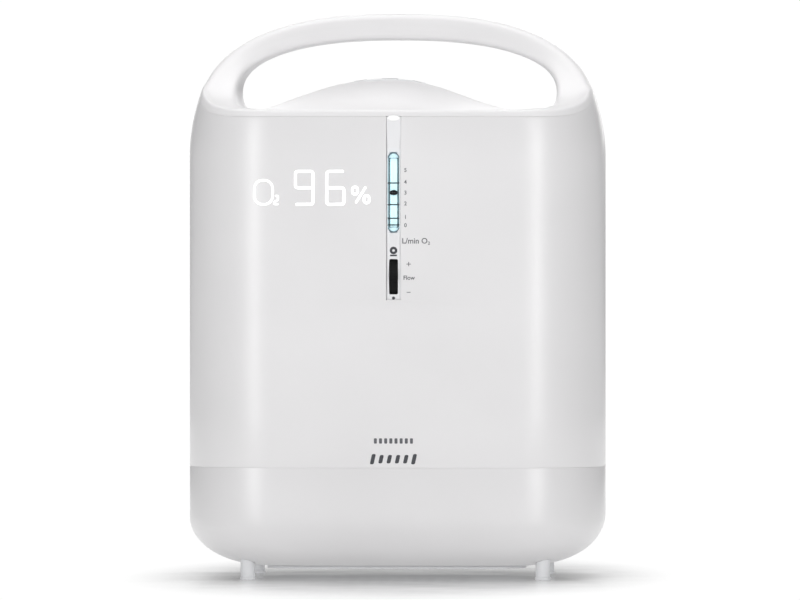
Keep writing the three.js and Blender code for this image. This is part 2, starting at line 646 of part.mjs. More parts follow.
// The shaft with the motor's rotor in its middle and an eccentric at each end, half a turn apart.
function crankshaft() {
  const { x, throw: offset, pin, pinLength, radius, length } = CRANK;
  const eccentrics = [-1, 1].map((side) => {
    return bar("x", pin, pinLength, [side * x - pinLength / 2, 0, -side * offset]);
  });
  const armature = bar("x", ROTOR.radius, ROTOR.length, [-ROTOR.length / 2, 0, 0]);
  return join(bar("x", radius, length, [-length / 2, 0, 0]), armature, ...eccentrics);
}

// A one-piece rod and piston: a ring round the eccentric, a rod and a cupped disc. Its origin is the
// eccentric.
function wobblePiston() {
  const { crown, radius, thick, ring, ringLength, rodX, rodY } = PISTON;
  const disc = bar("z", radius, thick, [0, 0, crown - thick]);
  const eye = bar("x", ring, ringLength, [-ringLength / 2, 0, 0]);
  const hole = bar("x", CRANK.pin + 0.4, ringLength + 9, [-ringLength / 2 - 4.5, 0, 0]);
  const rod = block([-rodX, -rodY, ring - WALL], [rodX, rodY, crown - thick + 2]);
  return join(cut(eye, hole), rod, disc);
}

function cylinderSleeve() {
  const { bore, outer, foot, top } = CYLINDER;
  const sleeve = bar("z", outer, top - foot - GAP, [0, 0, foot + GAP], { sides: FINE });
  return cut(sleeve, bar("z", bore, top - foot + 20, [0, 0, foot - 10], { sides: FINE }));
}

// A cylinder head: a disc with a row of cooling fins that shorten away from its middle.
function cylinderHead() {
  const { radius, thick, fins, pitch, fin, reach, top } = HEAD;
  const plate = bar("z", radius, thick, [0, 0, CYLINDER.top + GAP]);
  const rows = Array.from({ length: fins }, (_, i) => {
    const y = (i - (fins - 1) / 2) * pitch;
    const half = reach - Math.abs(y) / 3;
    return block([-half, y - fin, CYLINDER.top + thick - 1], [half, y + fin, CYLINDER.top + top]);
  });
  return join(plate, ...rows);
}

const MOUNT = { x: 68, y: 40, z: 32.9, radius: 9, waist: 6, end: 3, height: 13 };

function rubberMount() {
  const { radius, waist, end, height } = MOUNT;
  const lower = [[0, 0], [radius, 0], [radius, end], [waist, height / 2]];
  return turned([...lower, [radius, height - end], [radius, height], [0, height]], SMALL);
}

// ---------------------------------------------------------------- chassis

const BOX = { half: 114, depth: 80, bottom: 33, top: 197, wall: 5 };
const TRAY = { half: 116, depth: 84, bottom: 30, top: 32.7 };
const VENT = { pitch: 50, half: 15, y0: -70, y1: -56 };
const PIPES = { x: -40, y: -60, radius: 11 }; // the hole for the hoses in the box's roof
const FAN = { x: 56, y: -20, half: 46, height: 22, sweep: 43, hub: 15, blades: 7, reach: 41 };
const BLADE = { thick: 1.8, width: 15, pitch: 38, middle: 11.5, hubHeight: 15, hubBottom: 4 };
const STRUT = { width: 5, thick: 2 };
const COIL = { radius: 33, wire: 3.6, rise: 27, turns: 2.5, bottom: 224 };

function chassisTray() {
  const plate = block([-TRAY.half, -TRAY.depth, TRAY.bottom], [TRAY.half, TRAY.depth, TRAY.top]);
  const vents = [-VENT.pitch, 0, VENT.pitch].map((x) => {
    return block([x - VENT.half, VENT.y0, TRAY.bottom - 1], [x + VENT.half, VENT.y1, TRAY.top + 1]);
  });
  return cut(plate, ...vents);
}

// The open-bottomed box that quietens the compressor, with a mouth in its roof under the fan.
function acousticBox() {
  const { half, depth, bottom, top, wall } = BOX;
  const hollow = block([wall - half, wall - depth, 0], [half - wall, depth - wall, top - wall]);
  const mouth = bar("z", FAN.sweep - WALL, CUTTER, [FAN.x, FAN.y, top - CUTTER / 2]);
  const pipes = bar("z", PIPES.radius, CUTTER, [PIPES.x, PIPES.y, top - CUTTER / 2], { sides: SMALL });
  return cut(block([-half, -depth, bottom], [half, depth, top]), hollow, mouth, pipes);
}

function fanFrame() {
  const { half, height, sweep, hub } = FAN;
  const tunnel = bar("z", sweep, height + 20, [0, 0, -10], { sides: FINE });
  const struts = [45, 135].map((degrees) => {
    const geometry = new THREE.BoxGeometry(sweep * 2 + 2, STRUT.width, STRUT.thick).rotateZ(rad(degrees));
    return solidOf(geometry.translate(0, 0, STRUT.thick / 2));
  });
  const frame = cut(block([-half, -half, 0], [half, half, height]), tunnel);
  return join(frame, bar("z", hub, STRUT.thick, [0, 0, 0]), ...struts);
}

function fanRotor() {
  const { hub, blades, reach } = FAN;
  const blade = (index) => {
    const length = reach - hub + WALL;
    const geometry = new THREE.BoxGeometry(length, BLADE.thick, BLADE.width).rotateX(rad(BLADE.pitch));
    geometry.translate(hub - WALL + length / 2, 0, BLADE.middle).rotateZ(rad((360 * index) / blades));
    return solidOf(geometry);
  };
  const boss = bar("z", hub, BLADE.hubHeight, [0, 0, BLADE.hubBottom]);
  return join(boss, ...Array.from({ length: blades }, (_, i) => blade(i)));
}

// A coil of tube that cools the compressed air over the fan.
function heatExchanger() {
  class Helix extends THREE.Curve {
    getPoint(t) {
      const turn = 2 * Math.PI * COIL.turns * t;
      return new THREE.Vector3(COIL.radius * Math.cos(turn), COIL.radius * Math.sin(turn), COIL.rise * t);
    }
  }
  const round = new THREE.Shape().absarc(0, 0, COIL.wire, 0, 2 * Math.PI);
  const sweep = { steps: 30, curveSegments: 4, extrudePath: new Helix() };
  return solidOf(new THREE.ExtrudeGeometry(round, sweep));
}

// ---------------------------------------------------------------- gas pieces

// A canister with rounded ends and a short port at its top.
function canister({ radius, foot, shoulder, height, port, portHeight }) {
  const lower = [[0, 0], [foot, 0], [radius, shoulder], [radius, height - shoulder]];
  const upper = [[foot, height], [port, height + 1], [port, height + portHeight], [0, height + portHeight]];
  return turned([...lower, ...upper], FINE);
}

const SIEVE = { radius: 30, foot: 24, shoulder: 5, height: 177, port: 7, portHeight: 9 };
const TANK = { radius: 24, foot: 15, shoulder: 11, height: 171, port: 5, portHeight: 9 };
const MUFFLER = { radius: 16, port: 6, portLength: 8, shoulder: 2, length: 84 };

function muffler() {
  const { radius, port, portLength, shoulder, length } = MUFFLER;
  const lower = [[0, 0], [port, 0], [port, portLength], [radius, portLength + shoulder]];
  const upper = [[radius, length - portLength - shoulder], [port, length - portLength], [port, length]];
  return turned([...lower, ...upper, [0, length]], ROUND);
}

const VALVE = { half: 38, depth: 16, height: 12, bore: 4.3, spool: 4, stem: 2.4, stemLength: 58 };
const PORTS = { pitch: 24, y: -9, radius: 4, bore: 2, height: 8 };
const LANDS = { first: -30, pitch: 24, length: 12 };

function valveBlock() {
  const { half, depth, height, bore } = VALVE;
  const places = [-PORTS.pitch, 0, PORTS.pitch];
  const ports = places.map((x) => {
    return bar("z", PORTS.radius, PORTS.height, [x, PORTS.y, height - 1], { sides: SMALL });
  });
  const bores = places.map((x) => bar("z", PORTS.bore, height + 18, [x, PORTS.y, 2], { sides: COARSE }));
  const spoolBore = bar("x", bore, 2 * half + 2, [-half - 1, 0, 0]);
  return cut(join(block([-half, -depth, -height], [half, depth, height]), ...ports), spoolBore, ...bores);
}

// The sliding spool that swaps the two sieve beds: three lands on a thin stem.
function valveSpool() {
  const lands = [0, 1, 2].map((i) => {
    return bar("x", VALVE.spool, LANDS.length, [LANDS.first + i * LANDS.pitch, 0, 0]);
  });
  const stem = bar("x", VALVE.stem, VALVE.stemLength, [-VALVE.stemLength / 2, 0, 0], { sides: SMALL });
  return join(stem, ...lands);
}

// ---------------------------------------------------------------- finishes

const WHITE = { color: 0xf4f3f4, roughness: 0.45, metalness: 0 };
const SHELL = { color: 0xe3e2e3, roughness: 0.4, metalness: 0 };
const LIGHT = { color: 0xd6d7d9, roughness: 0.55, metalness: 0 };
const DARK = { color: 0x2b2c2e, roughness: 0.5, metalness: 0 };
const RUBBER = { color: 0x4a4b4d, roughness: 0.9, metalness: 0 };
const CLEAR = { color: 0xd8f6fa, roughness: 0.05, metalness: 0, transparent: true, opacity: 0.35 };
const METAL = { color: 0xa9acb0, roughness: 0.4, metalness: 1 };
const COPPER = { color: 0xb87345, roughness: 0.35, metalness: 1 };
const BOARD_GREEN = { color: 0x1f5a3c, roughness: 0.5, metalness: 0 };
const FOAM = { color: 0x3c3d40, roughness: 1, metalness: 0 };
const FELT = { color: 0xe9e6dc, roughness: 1, metalness: 0 };

// ---------------------------------------------------------------- assembly

const feet = [[-1, -1, "front_left"], [1, -1, "front_right"], [-1, 1, "rear_left"], [1, 1, "rear_right"]];

const casingGroup = group(
  [0, 0, 0],
  piece("front_shell", frontShell(), SHELL),
  piece("rear_shell", rearShell(), SHELL),
  piece("base_shell", baseShell(), SHELL),
  piece("handle_cover", handleCover(), WHITE),
  piece("base_plate", basePlate(), LIGHT),
  ...feet.map(([sx, sy, place]) => piece("foot_" + place, foot(sx, sy), LIGHT)),
);

const panelGroup = group(
  [0, 0, 0],
  piece("control_panel", controlPanel(), LIGHT),
  piece("timer_minus_button", panelButton(-1), LIGHT, [PANEL.x - PANEL.apart, 0, 0]),
  piece("power_button", panelButton(0), LIGHT, [PANEL.x, 0, 0]),
  piece("timer_plus_button", panelButton(1), LIGHT, [PANEL.x + PANEL.apart, 0, 0]),
  piece("control_board", controlBoard(), BOARD_GREEN),
);

const flowGroup = group(
  [0, FRONT, 0],
  piece("flow_bezel", flowBezel(), SHELL),
  piece("flow_tube", flowTube(), CLEAR, [0, TUBE.y, 0]),
  piece("flow_float", flowFloat(), DARK, [0, TUBE.y, FLOAT.rest]),
  piece("tube_cap_top", tubePlug(true), DARK, [0, TUBE.y, TUBE.top]),
  piece("tube_cap_bottom", tubePlug(false), DARK, [0, TUBE.y, TUBE.bottom]),
  piece("thumbwheel", thumbwheel(), DARK, [0, WHEEL.y, WHEEL.z]),
  piece("valve_body", valveBody(), METAL, [0, 0, WHEEL.z]),
  piece("valve_needle", valveNeedle(), METAL, [NEEDLE.x, WHEEL.y, WHEEL.z]),
  piece("display_diffuser", displayDiffuser(), WHITE),
  piece("display_board", displayBoard(), BOARD_GREEN),
);

const backGroup = group(
  [0, BACK, 0],
  piece("filter_door", slottedPane(FILTER, DOOR_SLOTS), SHELL),
  piece("filter_foam", filterFoam(), FOAM),
  piece("intake_filter", intakeFilter(), FELT, [INTAKE.x, INTAKE.y, INTAKE.z]),
  piece("exhaust_grille", slottedPane(EXHAUST, GRILLE_SLOTS), LIGHT),
  piece("power_inlet", powerInlet(), DARK),
  piece("breaker_button", breakerButton(), DARK, [BREAKER.x, 0, BREAKER.z]),
);

const humidifierGroup = group(
  PLACE,
  piece("humidifier_bottle", humidifierBottle(), CLEAR),
  piece("bottle_lid", bottleLid(), WHITE),
  piece("bottle_collar", bottleCollar(), LIGHT),
  piece("diffuser_tube", diffuserTube(), LIGHT),
  piece("outlet_nozzle", outletNozzle(), LIGHT, [OUTLET.x, OUTLET.y, BOTTLE.mouth + OUTLET.z + 2 * GAP]),
);

const sides = [[-1, "left"], [1, "right"]];

const compressorGroup = group(
  [0, 0, SHAFT_Z],
  piece("compressor_housing", compressorHousing(), METAL),
  piece("motor_stator", motorStator(), COPPER),
  piece("crankshaft", crankshaft(), METAL),
  ...sides.map(([side, name]) =>
    piece("piston_" + name, wobblePiston(), METAL, [side * CRANK.x, 0, -side * CRANK.throw]),
  ),
  ...sides.map(([side, name]) => piece("cylinder_" + name, cylinderSleeve(), METAL, [side * CRANK.x, 0, 0])),
  ...sides.map(([side, name]) => piece("head_" + name, cylinderHead(), METAL, [side * CRANK.x, 0, 0])),
);

const chassisGroup = group(
  [0, 0, 0],
  piece("chassis_tray", chassisTray(), METAL),
  piece("acoustic_box", acousticBox(), DARK),
  ...feet.map(([sx, sy, place]) => {
    return piece("rubber_mount_" + place, rubberMount(), RUBBER, [sx * MOUNT.x, sy * MOUNT.y, MOUNT.z]);
  }),
  piece("fan_frame", fanFrame(), DARK, [FAN.x, FAN.y, BOX.top + GAP]),
  piece("fan_rotor", fanRotor(), DARK, [FAN.x, FAN.y, BOX.top + GAP]),
  piece("heat_exchanger", heatExchanger(), COPPER, [FAN.x, FAN.y, COIL.bottom]),
);

const gasGroup = group(
  [0, 0, 0],
  piece("sieve_bed_left", canister(SIEVE), METAL, [-112, 36, BOX.top + 1]),
  piece("sieve_bed_right", canister(SIEVE), METAL, [-46, 36, BOX.top + 1]),
  piece("oxygen_tank", canister(TANK), METAL, [147, 0, 110]),
  piece("valve_block", valveBlock(), METAL, [-84, -34, 343]),
  piece("valve_spool", valveSpool(), METAL, [-84, -34, 343]),
  piece("muffler", muffler(), DARK, [120, -56, 206]),
);

const concentrator = new THREE.Group();
concentrator.add(casingGroup, panelGroup, flowGroup, backGroup, humidifierGroup);
concentrator.add(compressorGroup, chassisGroup, gasGroup);
concentrator.add(piece("bottle_bay", bottleBay(), SHELL));

export default concentrator;
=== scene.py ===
"""Looks of a home oxygen concentrator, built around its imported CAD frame.

Lengths are millimetres in the frame's own axes. They become metres where a mesh is made.
"""

import math

import bmesh
import bpy
import numpy as np
import openvdb
from mathutils import Matrix, Vector


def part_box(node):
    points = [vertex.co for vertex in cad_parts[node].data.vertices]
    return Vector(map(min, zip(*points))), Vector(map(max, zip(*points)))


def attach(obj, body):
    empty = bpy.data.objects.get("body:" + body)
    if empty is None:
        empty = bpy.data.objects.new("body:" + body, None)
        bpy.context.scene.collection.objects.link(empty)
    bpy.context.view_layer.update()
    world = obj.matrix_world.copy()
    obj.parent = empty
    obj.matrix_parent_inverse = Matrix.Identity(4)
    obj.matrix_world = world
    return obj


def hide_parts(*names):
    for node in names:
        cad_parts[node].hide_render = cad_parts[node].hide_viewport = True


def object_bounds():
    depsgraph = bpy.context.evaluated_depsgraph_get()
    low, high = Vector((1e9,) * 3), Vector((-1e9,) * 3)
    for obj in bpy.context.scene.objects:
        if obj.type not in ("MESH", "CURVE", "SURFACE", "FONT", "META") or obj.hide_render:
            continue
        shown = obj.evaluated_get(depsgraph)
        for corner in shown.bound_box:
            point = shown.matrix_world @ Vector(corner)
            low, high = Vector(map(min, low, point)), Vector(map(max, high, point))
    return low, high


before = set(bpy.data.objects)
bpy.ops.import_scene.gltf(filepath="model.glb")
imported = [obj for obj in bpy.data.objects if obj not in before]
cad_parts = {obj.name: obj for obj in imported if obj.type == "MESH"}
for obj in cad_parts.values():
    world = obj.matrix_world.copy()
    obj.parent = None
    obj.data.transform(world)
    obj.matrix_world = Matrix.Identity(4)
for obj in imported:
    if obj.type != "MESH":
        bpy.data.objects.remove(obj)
CAD_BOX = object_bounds()
MM = 0.001


def node_box(name):
    low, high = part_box(name)
    return low / MM, high / MM


def stand(name):
    """A node's box and the middle of its lower face."""
    low, high = node_box(name)
    return low, high, ((low.x + high.x) / 2, (low.y + high.y) / 2, low.z)


# ---------------- sizes of the outer form, as in the CAD

SIDE, BACK, TOP = CAD_BOX[1] / MM
FRONT = -BACK
UNDERSIDE, BASE_TOP = (corner.z for corner in node_box("base_shell"))
UPPER_FOOT = node_box("front_shell")[0].z
WALL = 3.0
GAP = 0.3  # clearance between neighbouring pieces, as in the CAD
HAIRLINE = 0.06  # the finer seam that is shown where two pieces meet
CORNER = 78.0  # plan radius of the upright edges
EDGE_RISE, EDGE_ACROSS, EDGE_ALONG = 42.0, 66.0, 44.0  # the rounded lower edge
LEAN_START, LEAN = 373.0, 0.0032  # the walls lean in above this height
RIM = 406.0  # front edge of the shells' open top
SWEEP_START, SWEEP_WIDTH, SWEEP_RISE, SWEEP_POWER = 130.0, 42.8, 22.1, 2.8  # how the rim rises at the sides
LEVEL = 412.0  # the cover's level face
HILL_X, HILL_RISE, HILL_DEPTH, HILL_POWER = -8.0, 29.5, 86.0, 1.5
HILL_LEFT, HILL_RIGHT = (120.0, 1.4), (130.0, 2.6)  # half width and steepness on each side of the crest
ARCH_OUT = {"half": 177.0, "rise": 103.0, "foot": TOP - 103.0, "power": 2.5}
ARCH_IN = {"half": 141.0, "rise": 49.0, "foot": TOP - 72.0, "power": 2.35}
GRIP_DEPTH, LEG_DEPTH, LEG_POWER = 21.0, 60.0, 2.5  # the handle's half depth at its top and at its legs
PANEL = {"x": HILL_X, "half": 46.0, "depth": 20.0}  # the button panel's ellipse


def lean(z):
    """How far the walls have leaned in at a height."""
    return LEAN * np.maximum(0.0, z - LEAN_START) ** 2


def rim_height(x):
    t = np.clip((np.abs(x) - SWEEP_START) / SWEEP_WIDTH, 0.0, 1.0)
    return RIM + SWEEP_RISE * (1 - (1 - t**SWEEP_POWER) ** (1 / SWEEP_POWER))


def cover_height(x, y):
    """Height of the top cover's upper face, without its edge."""
    left = x < HILL_X
    half = np.where(left, HILL_LEFT[0], HILL_RIGHT[0])
    power = np.where(left, HILL_LEFT[1], HILL_RIGHT[1])
    ridge = np.maximum(0.0, 1 - ((x - HILL_X) / half) ** 2) ** power
    hill = HILL_RISE * ridge * np.maximum(0.0, 1 - (y / HILL_DEPTH) ** 2) ** HILL_POWER
    return LEVEL + hill + rim_height(x) - RIM


def height_at(x, y):
    return float(cover_height(np.array(x), np.array(y)))


def front_y(x):
    """Where the front wall's outer face lies at a place across it, below the lean."""
    over = max(0.0, abs(x) - (SIDE - CORNER))
    return -(BACK - CORNER + math.sqrt(CORNER**2 - over**2))


# ---------------- outlines


def arc(centre, radius, start, end, steps=6):
    """Points along a round, from one angle to another in degrees."""
    turns = [math.radians(start + (end - start) * i / steps) for i in range(steps + 1)]
    return [(centre[0] + radius * math.cos(t), centre[1] + radius * math.sin(t)) for t in turns]


def circle(centre, radius, count=48):
    return arc(centre, radius, 0, 360, count)[:-1]


def rounded_box(x0, x1, z0, z1, radius, steps=6):
    """The outline of a rectangle with round corners."""
    near_x, far_x, near_z, far_z = x0 + radius, x1 - radius, z0 + radius, z1 - radius
    corners = [(far_x, near_z), (far_x, far_z), (near_x, far_z), (near_x, near_z)]
    return [point for k, c in enumerate(corners) for point in arc(c, radius, 90 * k - 90, 90 * k, steps)]


def box_outline(low, high, grow, radius, steps=6):
    """A node's outline as seen from the front or the rear, grown by a clearance."""
    return rounded_box(low.x - grow, high.x + grow, low.z - grow, high.z + grow, radius, steps)


# ---------------- mesh helpers


def link(name, data):
    """An object in the scene that shows a mesh, a curve, a lamp or a camera."""
    made = bpy.data.objects.new(name, data)
    bpy.context.scene.collection.objects.link(made)
    return made


def finish_mesh(mesh, smooth):
    """Turns the faces outward and keeps edges sharper than smooth degrees hard."""
    work = bmesh.new()
    work.from_mesh(mesh)
    bmesh.ops.recalc_face_normals(work, faces=work.faces)
    work.to_mesh(mesh)
    work.free()
    mesh.polygons.foreach_set("use_smooth", [True] * len(mesh.polygons))
    mesh.set_sharp_from_angle(angle=math.radians(smooth))


def new_object(name, vertices, faces, material, smooth=35):
    """A mesh object from millimetre vertices."""
    mesh = bpy.data.meshes.new(name)
    mesh.from_pydata([tuple(c * MM for c in v) for v in vertices], [], faces)
    mesh.validate()
    finish_mesh(mesh, smooth)
    if material is not None:
        mesh.materials.append(material)
    return link(name, mesh)


def baked(obj):
    """A new mesh of what an object shows, with its modifiers or its curve's thickness."""
    bpy.context.view_layer.update()
    return bpy.data.meshes.new_from_object(obj.evaluated_get(bpy.context.evaluated_depsgraph_get()))


def curve_mesh(name, curve):
    """The mesh of a curve or of lettering."""
    holder = link(name, curve)
    mesh = baked(holder)
    bpy.data.objects.remove(holder)
    return mesh


def apply_modifiers(obj, smooth=35):
    mesh = baked(obj)
    obj.modifiers.clear()
    obj.data = mesh
    finish_mesh(mesh, smooth)
    return obj


def cut(obj, *cutters, smooth=35, operation="DIFFERENCE", solver="EXACT"):
    """Cuts an object with others, or joins them to it. The others are used up."""
    for cutter in cutters:
        change = obj.modifiers.new("cut", "BOOLEAN")
        change.operation = operation
        change.solver = solver
        change.object = cutter
    apply_modifiers(obj, smooth)
    for cutter in cutters:
        bpy.data.objects.remove(cutter)
    return obj


def soften(obj, width=0.5, segments=2, angle=40):
    """Rounds an object's hard edges."""
    bevel = obj.modifiers.new("soften", "BEVEL")
    bevel.width = width * MM
    bevel.segments = segments
    bevel.limit_method = "ANGLE"
    bevel.angle_limit = math.radians(angle)
    return apply_modifiers(obj)


def ring_mesh(name, rings, material, smooth=35, loop=False):
    """A solid through rings of equal length: flat at both ends, or a closed tube if it loops."""
    count = len(rings[0])
    vertices = [point for ring in rings for point in ring]
    faces = [] if loop else [range(count), range(len(vertices) - count, len(vertices))]
    for k in range(len(rings) if loop else len(rings) - 1):
        lower, upper = k * count, (k + 1) % len(rings) * count
        for i in range(count):
            j = (i + 1) % count
            faces.append([lower + i, lower + j, upper + j, upper + i])
    return new_object(name, vertices, [list(face) for face in faces], material, smooth)


def prism(name, outline, low, high, axis="y", material=None, smooth=35):
    """An outline given thickness along an axis. Its pairs are (y, z) for x, (x, z) for y, (x, y) for z."""
    place = {
        "x": lambda u, v, w: (w, u, v),
        "y": lambda u, v, w: (u, w, v),
        "z": lambda u, v, w: (u, v, w),
    }[axis]
    return ring_mesh(name, [[place(u, v, w) for u, v in outline] for w in (low, high)], material, smooth)


def block(name, low, high, material=None):
    outline = [(low[0], low[1]), (high[0], low[1]), (high[0], high[1]), (low[0], high[1])]
    return prism(name, outline, low[2], high[2], "z", material)


def lathe(name, profile, centre, material, axis="z", segments=64, smooth=35, closed=False):
    """Turns (radius, height) pairs round an axis. A closed profile is a ring; an open one ends on it."""
    place = {
        "x": lambda a, b, h: (h, a, b),
        "y": lambda a, b, h: (a, h, b),
        "z": lambda a, b, h: (a, b, h),
    }[axis]
    vertices, rows = [], []
    for radius, height in profile:
        if radius < 1e-6:
            rows.append([len(vertices)] * segments)
            vertices.append(place(0, 0, height))
            continue
        rows.append(list(range(len(vertices), len(vertices) + segments)))
        vertices += [place(a, b, height) for a, b in circle((0, 0), radius, segments)]
    faces = []
    for lower, upper in zip(rows, rows[1:] + rows[:1] if closed else rows[1:]):
        for k in range(segments):
            j = (k + 1) % segments
            corner = [lower[k], lower[j], upper[j], upper[k]]
            face = [c for n, c in enumerate(corner) if c != corner[n - 1]]
            if len(face) > 2:
                faces.append(face)
    moved = [tuple(a + b for a, b in zip(vertex, centre)) for vertex in vertices]
    return new_object(name, moved, faces, material, smooth)


def joined(name, parts):
    """Several meshes made into one object, with the first one's material."""
    work = bmesh.new()
    for part in parts:
        work.from_mesh(part.data)
    mesh = bpy.data.meshes.new(name)
    work.to_mesh(mesh)
    work.free()
    mesh.materials.append(parts[0].data.materials[0])
    for part in parts:
        bpy.data.objects.remove(part)
    finish_mesh(mesh, 35)
    return link(name, mesh)


def keep(obj, body, slot, *nodes):
    """Puts a finished piece on its body and hides the CAD nodes that it stands for. The slot is not used."""
    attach(obj, body)
    if nodes:
        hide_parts(*nodes)
    return obj


# ---------------- finishes


class Shading:
    """The node tree of a material or of the world, with short ways to add to it."""

    def __init__(self, owner):
        owner.use_nodes = True
        self.owner = owner
        self.tree = owner.node_tree
        self.place = self.node("TexCoord", {}, "Object")

    def feed(self, node, inputs):
        """Sets a node's inputs to plain values or to other nodes' outputs."""
        for socket, value in inputs.items():
            if isinstance(value, bpy.types.NodeSocket):
                self.tree.links.new(value, node.inputs[socket])
            else:
                node.inputs[socket].default_value = value

    def node(self, kind, inputs, output=0, **settings):
        """A new node's output. The settings are the node's own choices, such as its operation."""
        made = self.tree.nodes.new("ShaderNode" + kind)
        for name, value in settings.items():
            setattr(made, name, value)
        self.feed(made, inputs)
        return made.outputs[output]

    def surface(self, inputs):
        """Sets the principled shader's inputs and gives the material."""
        self.feed(self.tree.nodes["Principled BSDF"], inputs)
        return self.owner

    def blend(self, share, first, second):
        """Ends the tree with a mix of two shaders, and gives the material."""
        output = next(node for node in self.tree.nodes if node.type.startswith("OUTPUT"))
        self.feed(output, {"Surface": self.node("MixShader", {0: share, 1: first, 2: second})})
        return self.owner

    def solid(self):
        return self.tree.nodes["Principled BSDF"].outputs["BSDF"]

    def noise(self, per_metre, detail=3.0, stretch=(1, 1, 1)):
        """A pattern whose grains repeat per_metre times, stretched along an axis if asked."""
        place = self.node("Mapping", {"Vector": self.place, "Scale": stretch}, "Vector")
        return self.node("TexNoise", {"Vector": place, "Scale": per_metre, "Detail": detail}, "Fac")

    def ranged(self, value, from_low, from_high, to_low, to_high, interpolation="SMOOTHSTEP"):
        """A value's range mapped onto another, and held at its ends."""
        ends = {"From Min": from_low, "From Max": from_high, "To Min": to_low, "To Max": to_high}
        inputs = {"Value": value, **ends}
        return self.node("MapRange", inputs, "Result", interpolation_type=interpolation)

    def spread(self, pattern, low, high):
        """A pattern's middle range stretched between two numbers."""
        return self.ranged(pattern, 0.3, 0.7, low, high, "LINEAR")

    def tint(self, value, dark, light):
        """A colour between two, by a value."""
        inputs = {"A": (*dark, 1), "B": (*light, 1), "Factor": value}
        return self.node("Mix", inputs, "Result", data_type="RGBA")

    def bump(self, pattern, strength, height):
        inputs = {"Height": pattern, "Strength": strength, "Distance": height * MM}
        return self.node("Bump", inputs, "Normal")

    def maths(self, operation, *values):
        return self.node("Math", dict(enumerate(values)), operation=operation)


def new_look(name):
    return Shading(bpy.data.materials.new(name))


def linear(red, green, blue):
    """A colour given as it is seen, 0 to 255, in linear light."""
    parts = [c / 255 for c in (red, green, blue)]
    return tuple(c / 12.92 if c <= 0.04045 else ((c + 0.055) / 1.055) ** 2.4 for c in parts)


def moulded(name, colour, roughness, grain=0.06, texture=900.0, coat=0.0, fade=0.035, specular=0.5):
    """Moulded plastic: a fine grain, a slightly uneven sheen and a faint change of tone."""
    look = new_look(name)
    light = linear(*colour)
    dark = tuple(c * (1 - fade) for c in light)
    return look.surface({
        "Base Color": look.tint(look.spread(look.noise(9, 2.0), 0, 1), dark, light),
        "Roughness": look.spread(look.noise(60), roughness - 0.03, roughness + 0.03),
        "Normal": look.bump(look.noise(texture, 2.0), grain, 0.05),
        "Coat Weight": coat,
        "Coat Roughness": 0.34,
        "Specular IOR Level": specular,
    })


def metal(name, grain, dark, light, roughness, metallic=1.0):
    """Metal with streaks or pits. Grain is their number in a metre, their detail and their stretch."""
    look = new_look(name)
    pattern = look.noise(*grain)
    look.surface({
        "Base Color": look.tint(pattern, linear(*dark), linear(*light)),
        "Roughness": look.spread(pattern, *roughness),
        "Metallic": metallic,
    })
    return look, pattern


def cast_alloy():
    """Cast metal with a pitted grey skin."""
    look, pits = metal("cast_alloy", (420, 5.0), (128, 131, 136), (172, 175, 180), (0.42, 0.62), 0.85)
    return look.surface({"Normal": look.bump(pits, 0.35, 0.2)})


def circuit_board():
    """Green lacquer over fine copper tracks."""
    look = new_look("circuit_board")
    lacquer = {"Color1": (26, 84, 56), "Color2": (30, 94, 62), "Mortar": (74, 132, 84)}
    inputs = {name: (*linear(*colour), 1) for name, colour in lacquer.items()}
    inputs.update({"Vector": look.place, "Scale": 160, "Mortar Size": 0.03})
    return look.surface({
        "Base Color": look.node("TexBrick", inputs, "Color"),
        "Roughness": look.spread(look.noise(90), 0.28, 0.4),
    })


def foam():
    """Open-cell foam: dark cells with a lighter web."""
    look = new_look("open_foam")
    cells = look.node("TexVoronoi", {"Vector": look.place, "Scale": 650}, "Distance")
    return look.surface({
        "Base Color": look.tint(cells, linear(30, 31, 33), linear(84, 85, 88)),
        "Roughness": 0.95,
        "Normal": look.bump(cells, 0.9, 0.8),
    })


def felt():
    look = new_look("felt")
    fibre = look.noise(900, 6.0, (1, 6, 1))
    return look.surface({
        "Base Color": look.tint(fibre, linear(214, 210, 198), linear(240, 238, 230)),
        "Roughness": 0.95,
        "Sheen Weight": 0.3,
        "Normal": look.bump(fibre, 0.6, 0.4),
    })


def lamination():
    """The stator's stacked sheets: fine dark lines across the shaft."""
    look = new_look("lamination")
    sheets = look.node("TexWave", {"Vector": look.place, "Scale": 320}, "Fac", bands_direction="X")
    return look.surface({
        "Base Color": look.tint(sheets, linear(70, 72, 76), linear(128, 130, 134)),
        "Metallic": 0.9,
        "Roughness": look.spread(look.noise(200), 0.35, 0.55),
        "Normal": look.bump(sheets, 0.3, 0.1),
    })


def glass(name, colour, roughness, tone, blend=0.35, start=0.0, turned=0.75, least=0.08, most=0.85):
    """Clear plastic: light passes straight through, and less of it where the surface turns away."""
    look = new_look(name)
    sheen = look.spread(look.noise(50), roughness, roughness + 0.04)
    look.surface({"Base Color": (*linear(*colour), 1), "Roughness": sheen})
    facing = look.node("LayerWeight", {"Blend": blend}, "Facing")
    share = look.ranged(facing, start, turned, least, most, "LINEAR")
    clear = look.node("BsdfTransparent", {"Color": (*linear(*tone), 1)}, "BSDF")
    return look.blend(share, clear, look.solid())


def glow(name, colour, strength):
    """A lit surface whose light is a little uneven."""
    look = new_look(name)
    return look.surface({
        "Base Color": (*linear(*colour), 1),
        "Emission Color": (*linear(*colour), 1),
        "Emission Strength": look.spread(look.noise(70), strength * 0.96, strength),
    })


def lit_cap():
    """The tube's rounded end, with painted light: a painted glow where light shows through its middle, and
    painted shade in grey-blue round its edge.
    """
    look = new_look("cap_plastic")
    # painted glow and shade: colour from bright to grey-blue by how the surface faces the view, with a faint
    # emission
    facing = look.node("LayerWeight", {"Blend": 0.5}, "Facing")
    colours = look.tint(look.ranged(facing, 0.26, 0.62, 0, 1), linear(206, 238, 246), linear(96, 112, 120))
    return look.surface({
        "Base Color": colours,
        "Emission Color": colours,
        "Emission Strength": 0.15,
        "Roughness": look.spread(look.noise(70), 0.2, 0.3),
    })


